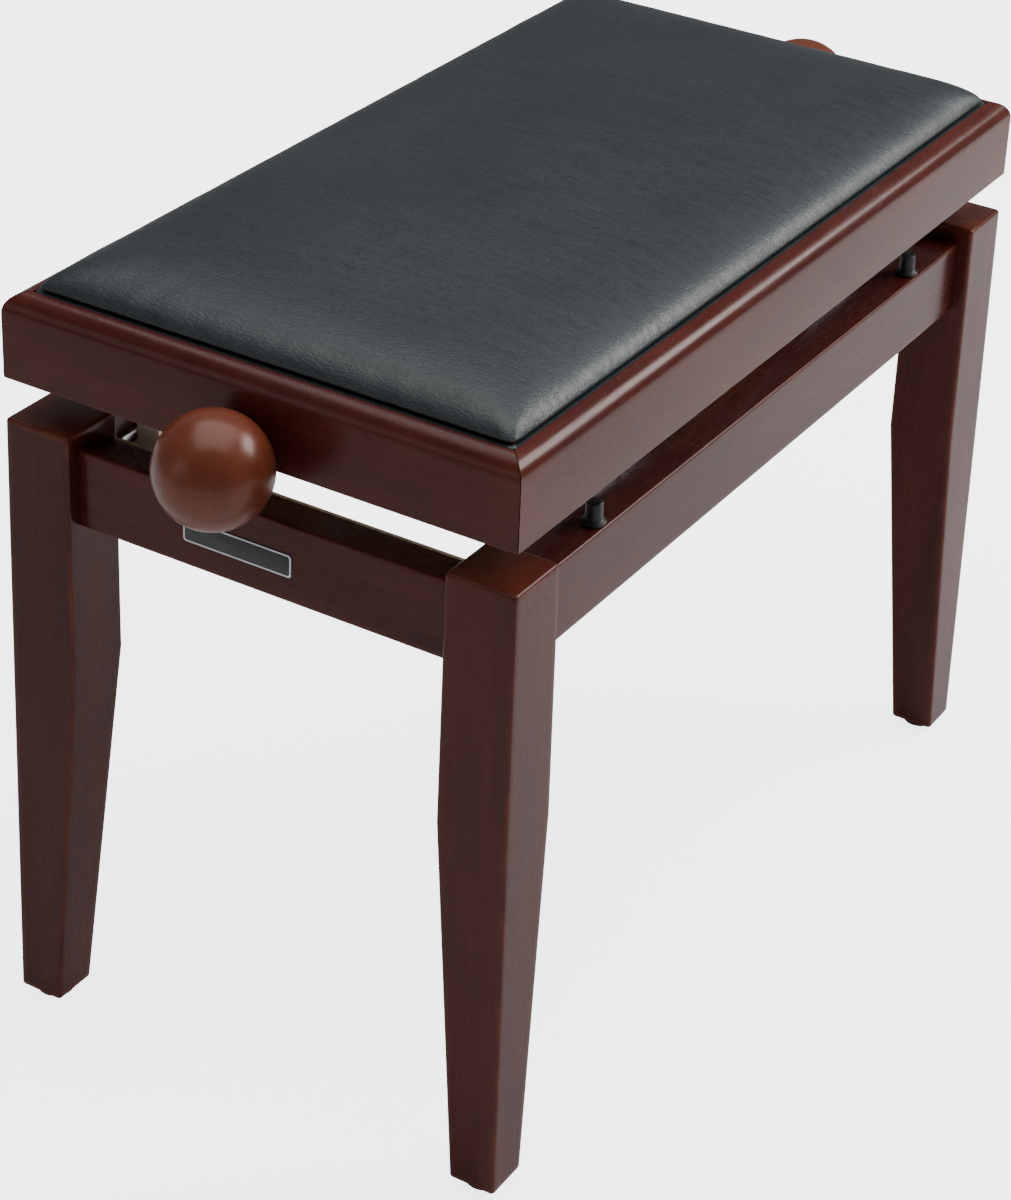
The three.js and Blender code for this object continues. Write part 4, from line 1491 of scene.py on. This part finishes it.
@dataclass
class Lift:
    """The steel parts: rails, plates, arms, pins, rods and nuts."""

    finishes: Finishes
    pin_hole: float = 4.3 * MM
    rod_hole: float = 3.3 * MM
    loose_hole: float = 5.5 * MM
    slide: tuple[float, float] = (6.6 * MM, 34.4 * MM)
    eye: tuple[float, float] = (1.9 * MM, 4.6 * MM)
    eye_radius: float = 4.0 * MM
    sheet: float = 3 * MM
    arm_half: float = 10 * MM
    arm_end: float = 3 * MM
    ear_rise: float = 18 * MM
    ear_set_in: float = 15.7 * MM
    ear_width: float = 14 * MM
    ear_notch: float = 5 * MM

    def build(self) -> None:
        """Builds the lift."""
        for side in SIDES:
            self._lower_rail(side)
            self._upper_rail(side)
        for end in ENDS:
            self._end_plate(end)
            self._bearing_plate(end)
            self._nut(end)
            self._rod(f"centre_rod_{end}", f"outer_arms_{end}")
            self._rod(f"slider_rod_{end}", f"inner_arms_{end}")
        for corner in CORNERS:
            self._arms(corner)
            self._pin(f"lower_pin_{corner}", "base")
            self._pin(f"upper_pin_{corner}", "seat")

    def _steel(self, piece: Piece, body: str, nodes: Sequence[str] = ()) -> None:
        """Dresses a bright plated piece."""
        dress(piece, self.finishes.zinc(), body, nodes)

    def _screws(
        self, name: str, body: str, places: Sequence, axis: Array, radius: float, height: float
    ) -> None:
        """A row of screw heads that look along an axis."""
        for number, place in enumerate(places):
            screw = socket_screw(f"{name}_{number}", np.array(place), axis, radius, height)
            self._steel(screw, body)

    def _hole(self, x: float, z: float, radius: float, y0: float, y1: float) -> Piece:
        """A round cutter along Y, from 1 mm before y0 to 1 mm beyond y1."""
        return drill(np.array([x, y0 - MM, z]), Y_AXIS, radius, y1 - y0 + 2 * MM, 40)

    def _web(self, name: str, extent: Extent, sign: float) -> tuple[Piece, float, float]:
        """The upright leaf of an angle rail, at the heads of its pins, and its two faces' y."""
        pin = Extent.of("lower_pin_front_right")
        out = max(abs(pin.low[1]), abs(pin.high[1]))
        y0, y1 = (out - self.sheet, out) if sign > 0 else (-out, -out + self.sheet)
        half = extent.size[0] / 2
        outline = rectangle(np.array([-half, extent.low[2]]), np.array([half, extent.high[2]]))
        outline, _ = rounded_path(outline, 1.5 * MM, 4)
        web = slab(name, outline, self.sheet, np.array([0, y1, 0]), X_AXIS, Z_AXIS)
        return web, y0, y1

    def _leaf(self, extent: Extent, middle: float, edge: float, bottom: float) -> Piece:
        """The lying leaf of an angle rail, from the middle of its web to the rail's edge."""
        low = np.array([extent.low[0], min(edge, middle), bottom])
        high = np.array([extent.high[0], max(edge, middle), bottom + self.sheet])
        return bar("leaf", Extent(low, high), 0, 0.4 * MM, 0.4 * MM, 0.5 * MM)

    def _lower_rail(self, side: str) -> None:
        """An angle inside a long apron, with its pivot holes and long holes, screwed on."""
        node = f"lower_rail_{side}"
        extent = Extent.of(node)
        sign = extent.sign(1)
        web, y0, y1 = self._web(node, extent, sign)
        pin = Extent.of("lower_pin_front_right").centre
        nut = Extent.of("trunnion_nut_right").centre[0]
        start, deep = np.array([0, y1 + MM, 0]), self.sheet + 2 * MM
        cutters = []
        for way in (-1, 1):
            cutters.append(self._hole(way * pin[0], pin[2], self.pin_hole, y0, y1))
            x0, x1 = sorted((way * (nut - self.slide[0]), way * (nut + self.slide[1])))
            outline = long_round(x0, x1, pin[2], self.loose_hole)
            cutters.append(slab("cutter", outline, deep, start, X_AXIS, Z_AXIS, 0.01 * MM))
        carve(web, cutters)
        inner = extent.low[1] if sign > 0 else extent.high[1]
        leaf = self._leaf(extent, (y0 + y1) / 2, inner, extent.low[2])
        self._steel(joined(f"{side}_lower_rail", [web, leaf]), "base", [node])
        face = y0 if sign > 0 else y1
        places = [(x * MM, face, extent.low[2] + 11 * MM) for x in (-100, 0, 100)]
        self._screws(f"{side}_rail_screw", "base", places, -sign * Y_AXIS, 4.5 * MM, 2 * MM)

    def _upper_rail(self, side: str) -> None:
        """An angle under the board, with its pivot holes, screwed up into the board."""
        node = f"upper_rail_{side}"
        extent = Extent.of(node)
        sign = extent.sign(1)
        web, y0, y1 = self._web(node, extent, sign)
        pin = Extent.of("upper_pin_front_right").centre
        carve(web, [self._hole(way * pin[0], pin[2], self.pin_hole, y0, y1) for way in (-1, 1)])
        outer = extent.high[1] if sign > 0 else extent.low[1]
        bottom = extent.high[2] - self.sheet
        leaf = self._leaf(extent, (y0 + y1) / 2, outer, bottom)
        self._steel(joined(f"{side}_upper_rail", [web, leaf]), "seat", [node])
        places = [(x * MM, sign * 127 * MM, bottom) for x in (-180, -90, 0, 90, 180)]
        self._screws(f"{side}_board_screw", "seat", places, -Z_AXIS, 3.4 * MM, 1.8 * MM)

    def _end_plate(self, end: str) -> None:
        """The plate that joins the lower rails, with a notched ear near one of its ends."""
        node = f"lower_end_plate_{end}"
        extent = Extent.of(node)
        sign = extent.sign(0)
        half = extent.size[1] / 2
        bottom, ear_top = extent.low[2], extent.high[2]
        top = ear_top - self.ear_rise
        outer, inner = half - self.ear_set_in, half - self.ear_set_in - self.ear_width
        middle = (outer + inner) / 2
        outline = np.concatenate(
            [
                [(-half, bottom), (half, bottom), (half, top), (outer, top), (outer, ear_top)],
                arc_points((middle, ear_top), self.ear_notch, 0, -180),
                [(inner, ear_top), (inner, top), (-half, top)],
            ]
        )
        start = np.array([extent.low[0] if sign < 0 else extent.high[0], 0, 0])
        across, deep = -sign * Y_AXIS, extent.size[0]
        plate = slab(f"{end}_end_plate", outline, deep, start, across, Z_AXIS, 0.3 * MM)
        dress(plate, self.finishes.yellow_zinc(), "base", [node])
        face = extent.high[0] if sign > 0 else extent.low[0]
        places = [(face, -sign * y, top - 9 * MM) for y in (-middle, 0.0, middle)]
        self._screws(f"{end}_ear_bolt", "base", places, sign * X_AXIS, 4.2 * MM, 2.6 * MM)

    def _bearing_plate(self, end: str) -> None:
        """The plate inside an end rail, with a bore for the spindle and four screws."""
        node = f"bearing_plate_{end}"
        extent = Extent.of(node)
        sign = extent.sign(0)
        spindle = Extent.of("spindle_rod")
        half = extent.size[1] / 2
        outline = rectangle(np.array([-half, extent.low[2]]), np.array([half, extent.high[2]]))
        outline, _ = rounded_path(outline, 3 * MM, 6)
        start = np.array([extent.low[0], 0, 0])
        plate = slab(f"{end}_bearing_plate", outline, extent.size[0], start, Y_AXIS, Z_AXIS)
        bore = spindle.size[1] / 2 + 0.3 * MM
        before = np.array([extent.low[0] - 2 * MM, 0, spindle.centre[2]])
        carve(plate, [drill(before, X_AXIS, bore, extent.size[0] + 4 * MM)])
        self._steel(plate, "seat", [node])
        face = extent.low[0] if sign > 0 else extent.high[0]
        places = [(face, y * MM, extent.low[2] + z * MM) for z in (9, 33) for y in (-24, 24)]
        self._screws(f"{end}_bearing_screw", "seat", places, -sign * X_AXIS, 3.6 * MM, 1.8 * MM)

    def _nut(self, end: str) -> None:
        """A block on the thread with a cross rod: a rounded bar, bored, and a rod each way."""
        node = f"trunnion_nut_{end}"
        extent = Extent.of(node)
        centre = extent.centre
        reach = extent.size[1] / 2
        half = np.array([extent.size[0] / 2, extent.size[2] / 2, extent.size[2] / 2])
        block = bar("block", Extent(centre - half, centre + half), 0, 2 * MM, 0.8 * MM, 0.5 * MM)
        bore, length = Extent.of("spindle_rod").size[1] / 2 + 0.2 * MM, 40 * MM
        carve(block, [drill(centre - length / 2 * X_AXIS, X_AXIS, bore, length)])
        radius = self.rod_hole - 0.3 * MM
        gap = half[1] - 1 * MM
        line = [(0, 0), (radius, 0), (radius, reach - gap), (0, reach - gap)]
        rods = [
            turned("rod", softened(line, 0.5 * MM), centre + way * gap * Y_AXIS, way * Y_AXIS)
            for way in (-1, 1)
        ]
        self._steel(joined(f"{end}_trunnion_nut", [block, *rods]), f"nut_{end}", [node])

    def _rod(self, node: str, body: str) -> None:
        """A cross rod with bevelled ends and a groove for a clip near each."""
        extent = Extent.of(node)
        radius, length = extent.size[2] / 2, extent.size[1]
        groove = [(radius, 1.0), (radius - 0.5 * MM, 1.0), (radius - 0.5 * MM, 1.8), (radius, 1.8)]
        near = [(r, h * MM) for r, h in groove]
        far = [(r, length - h * MM) for r, h in reversed(groove)]
        bevel = 0.4 * MM
        line = [(0, 0), (radius - bevel, 0), (radius, bevel), *near, *far]
        line += [(radius, length - bevel), (radius - bevel, length), (0, length)]
        start = np.array([extent.centre[0], extent.low[1], extent.centre[2]])
        side, end = node.split("_rod_")
        piece = turned(f"{end}_{side}_rod", line, start, Y_AXIS, 32)
        self._steel(piece, body, [node])

    def _pin(self, node: str, body: str) -> None:
        """A pivot pin along Y: a domed head towards the middle and a bevelled shank."""
        extent = Extent.of(node)
        sign = extent.sign(1)
        radius, length = extent.size[0] / 2, extent.size[1]
        inner = extent.low[1] if sign > 0 else extent.high[1]
        start = np.array([extent.centre[0], inner, extent.centre[2]])
        shank, head = self.pin_hole - 0.3 * MM, 2 * MM
        dome = [(0, 0), (0.45 * radius, 0.12 * MM), (0.8 * radius, 0.5 * MM), (radius, 1.2 * MM)]
        line = [*dome, (radius, head), (shank, head), (shank, length - 0.6 * MM)]
        line += [(shank - 0.6 * MM, length), (0, length)]
        pin = turned(f"{node}_shank", line, start, sign * Y_AXIS, 32)
        self._steel(pin, body, [node])

    def _arms(self, corner: str) -> None:
        """The outer arm, from the lower pin to the nut, and the inner one, from the upper pin.

        Each is a strip with round ends along the line from its pin to the cross rod.
        """
        end = corner.split("_")[1]
        nut = Extent.of(f"trunnion_nut_{end}").centre
        slider = Extent.of(f"slider_rod_{end}").centre
        lower = Extent.of(f"lower_pin_{corner}").centre
        upper = Extent.of(f"upper_pin_{corner}").centre
        self._arm(f"outer_arm_{corner}", f"outer_arms_{end}", lower, nut, self.rod_hole, True)
        self._arm(f"inner_arm_{corner}", f"inner_arms_{end}", upper, slider, self.loose_hole, False)

    def _arm(
        self, node: str, body: str, pin: Array, rod: Array, middle: float, is_outer: bool
    ) -> None:
        """One arm with its pin hole, middle hole, and the slot or hole at its far end."""
        extent = Extent.of(node)
        y0, y1 = extent.low[1], extent.high[1]
        run = np.array([rod[0] - pin[0], 0, rod[2] - pin[2]])
        length = float(np.linalg.norm(run))
        along = run / length
        up = np.cross(along, Y_AXIS)
        far = length + (self.arm_end if is_outer else 0)
        outline = long_round(0, far, 0, self.arm_half)
        thickness = y1 - y0
        out = np.cross(along, up)
        origin = np.array([pin[0], y0 if out[1] > 0 else y1, pin[2]])
        arm = slab(f"{node}_strip", outline, thickness, origin, along, up, 0.5 * MM)
        start = origin - out * MM
        deep = thickness + 2 * MM
        holes = [(0, self.pin_hole), (length / 2, middle)]
        if not is_outer:
            holes.append((length, self.rod_hole))
        shapes = [arc_points((x, 0), radius, 0, 354, 60) for x, radius in holes]
        if is_outer:
            a, b = length - self.eye[0], length + self.eye[1]
            shapes.append(long_round(a, b, 0, self.eye_radius))
        carve(arm, [slab("cutter", shape, deep, start, along, up, 0.01 * MM) for shape in shapes])
        self._steel(arm, body, [node])


# Studio -------------------------------------------------------------------------------------


@dataclass
class Studio:
    """Floor, lights, surroundings and camera."""

    focal: float = 3149.44
    image: tuple[int, int] = (1011, 1200)
    image_centre: tuple[float, float] = (590.0, 400.0)
    place: tuple[float, float, float] = (-1.35667, -0.79391, 1.12585)
    azimuth: float = -60.69
    elevation: float = 27.55
    roll: float = 3.08
    sensor: float = 36.0
    floor_reach: float = 9.0
    floor_glow: float = 3.4
    world_glow: float = 0.20

    def build(self) -> None:
        """Builds the studio."""
        self._floor()
        self._lights()
        self._world()
        self._camera()

    def _floor(self) -> None:
        """A wide pale floor, as a grid of points at height 0."""
        side = np.linspace(-self.floor_reach, self.floor_reach, 25)
        x, y = np.meshgrid(side, side, indexing="ij")
        _, faces = sheet_faces(*x.shape)
        floor = build("studio_floor", np.stack([x, y, np.zeros_like(x)], -1), faces)
        material, graph, shader = new_material("pale_floor")
        seen = graph.node("LightPath").outputs["Is Camera Ray"]
        sockets = {
            "Base Color": (0.93, 0.93, 0.93, 1),
            "Roughness": 0.9,
            "Specular IOR Level": 0.0,
            "Emission Color": (1, 1, 1, 1),
            "Emission Strength": graph.times(seen, self.floor_glow),
        }
        graph.feed(shader, sockets)
        floor.data.materials.append(material)

    def _light(
        self, name: str, place: Sequence[float], size: Sequence[float], power: float
    ) -> None:
        """A soft rectangular light that looks at the seat."""
        light = bpy.data.lights.new(name, "AREA")
        light.shape, light.size, light.size_y = "RECTANGLE", size[0], size[1]
        light.energy = power
        lamp = linked(name, light)
        lamp.location = place
        aim = Vector((0, 0, 0.3)) - Vector(place)
        lamp.rotation_euler = aim.to_track_quat("-Z", "Y").to_euler()

    def _lights(self) -> None:
        """A large softbox to the right, a wide one overhead and a weak one on the left."""
        self._light("right_softbox", (1.8, -1.6, 1.9), (1.5, 1.2), 67)
        self._light("overhead_softbox", (0.2, 0.1, 2.9), (3.0, 3.0), 70)
        self._light("left_fill", (-2.2, 1.2, 1.0), (1.0, 1.0), 2.5)

    def _world(self) -> None:
        """Even pale surroundings."""
        world = bpy.data.worlds.new("studio")
        world.use_nodes = True
        background = world.node_tree.nodes["Background"]
        background.inputs[0].default_value = (1, 1, 1, 1)
        background.inputs[1].default_value = self.world_glow
        bpy.context.scene.world = world

    def _camera(self) -> None:
        """The camera: right, up and back from its azimuth, elevation and roll."""
        az, el, roll = np.radians([self.azimuth, self.elevation, self.roll])
        back = np.array([np.sin(az) * np.cos(el), -np.cos(az) * np.cos(el), np.sin(el)])
        right = np.array([np.cos(az), np.sin(az), 0.0])
        up = np.cross(back, right)
        tilted = right * np.cos(roll) + up * np.sin(roll)
        upright = up * np.cos(roll) - right * np.sin(roll)
        camera = bpy.data.cameras.new("camera")
        width, height = self.image
        camera.sensor_fit = "AUTO"
        camera.sensor_width = self.sensor
        camera.lens = self.focal * self.sensor / height
        camera.shift_x = (width / 2 - self.image_centre[0]) / height
        camera.shift_y = (self.image_centre[1] - height / 2) / height
        eye = linked("camera", camera)
        matrix = np.eye(4)
        matrix[:3, 0], matrix[:3, 1], matrix[:3, 2] = tilted, upright, back
        matrix[:3, 3] = self.place
        eye.matrix_world = Matrix(matrix.tolist())
        bpy.context.scene.camera = eye


def main() -> None:
    """Builds the bench round the frame, then the studio."""
    logging.basicConfig(level=logging.INFO, format="%(name)s: %(message)s")
    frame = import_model()
    finishes = Finishes()
    for part in (Base(finishes), Seat(finishes), Spindle(finishes), Lift(finishes)):
        part.build()
        log.info("%s is built", type(part).__name__)
    Studio().build()


if __name__ == "__main__":
    main()
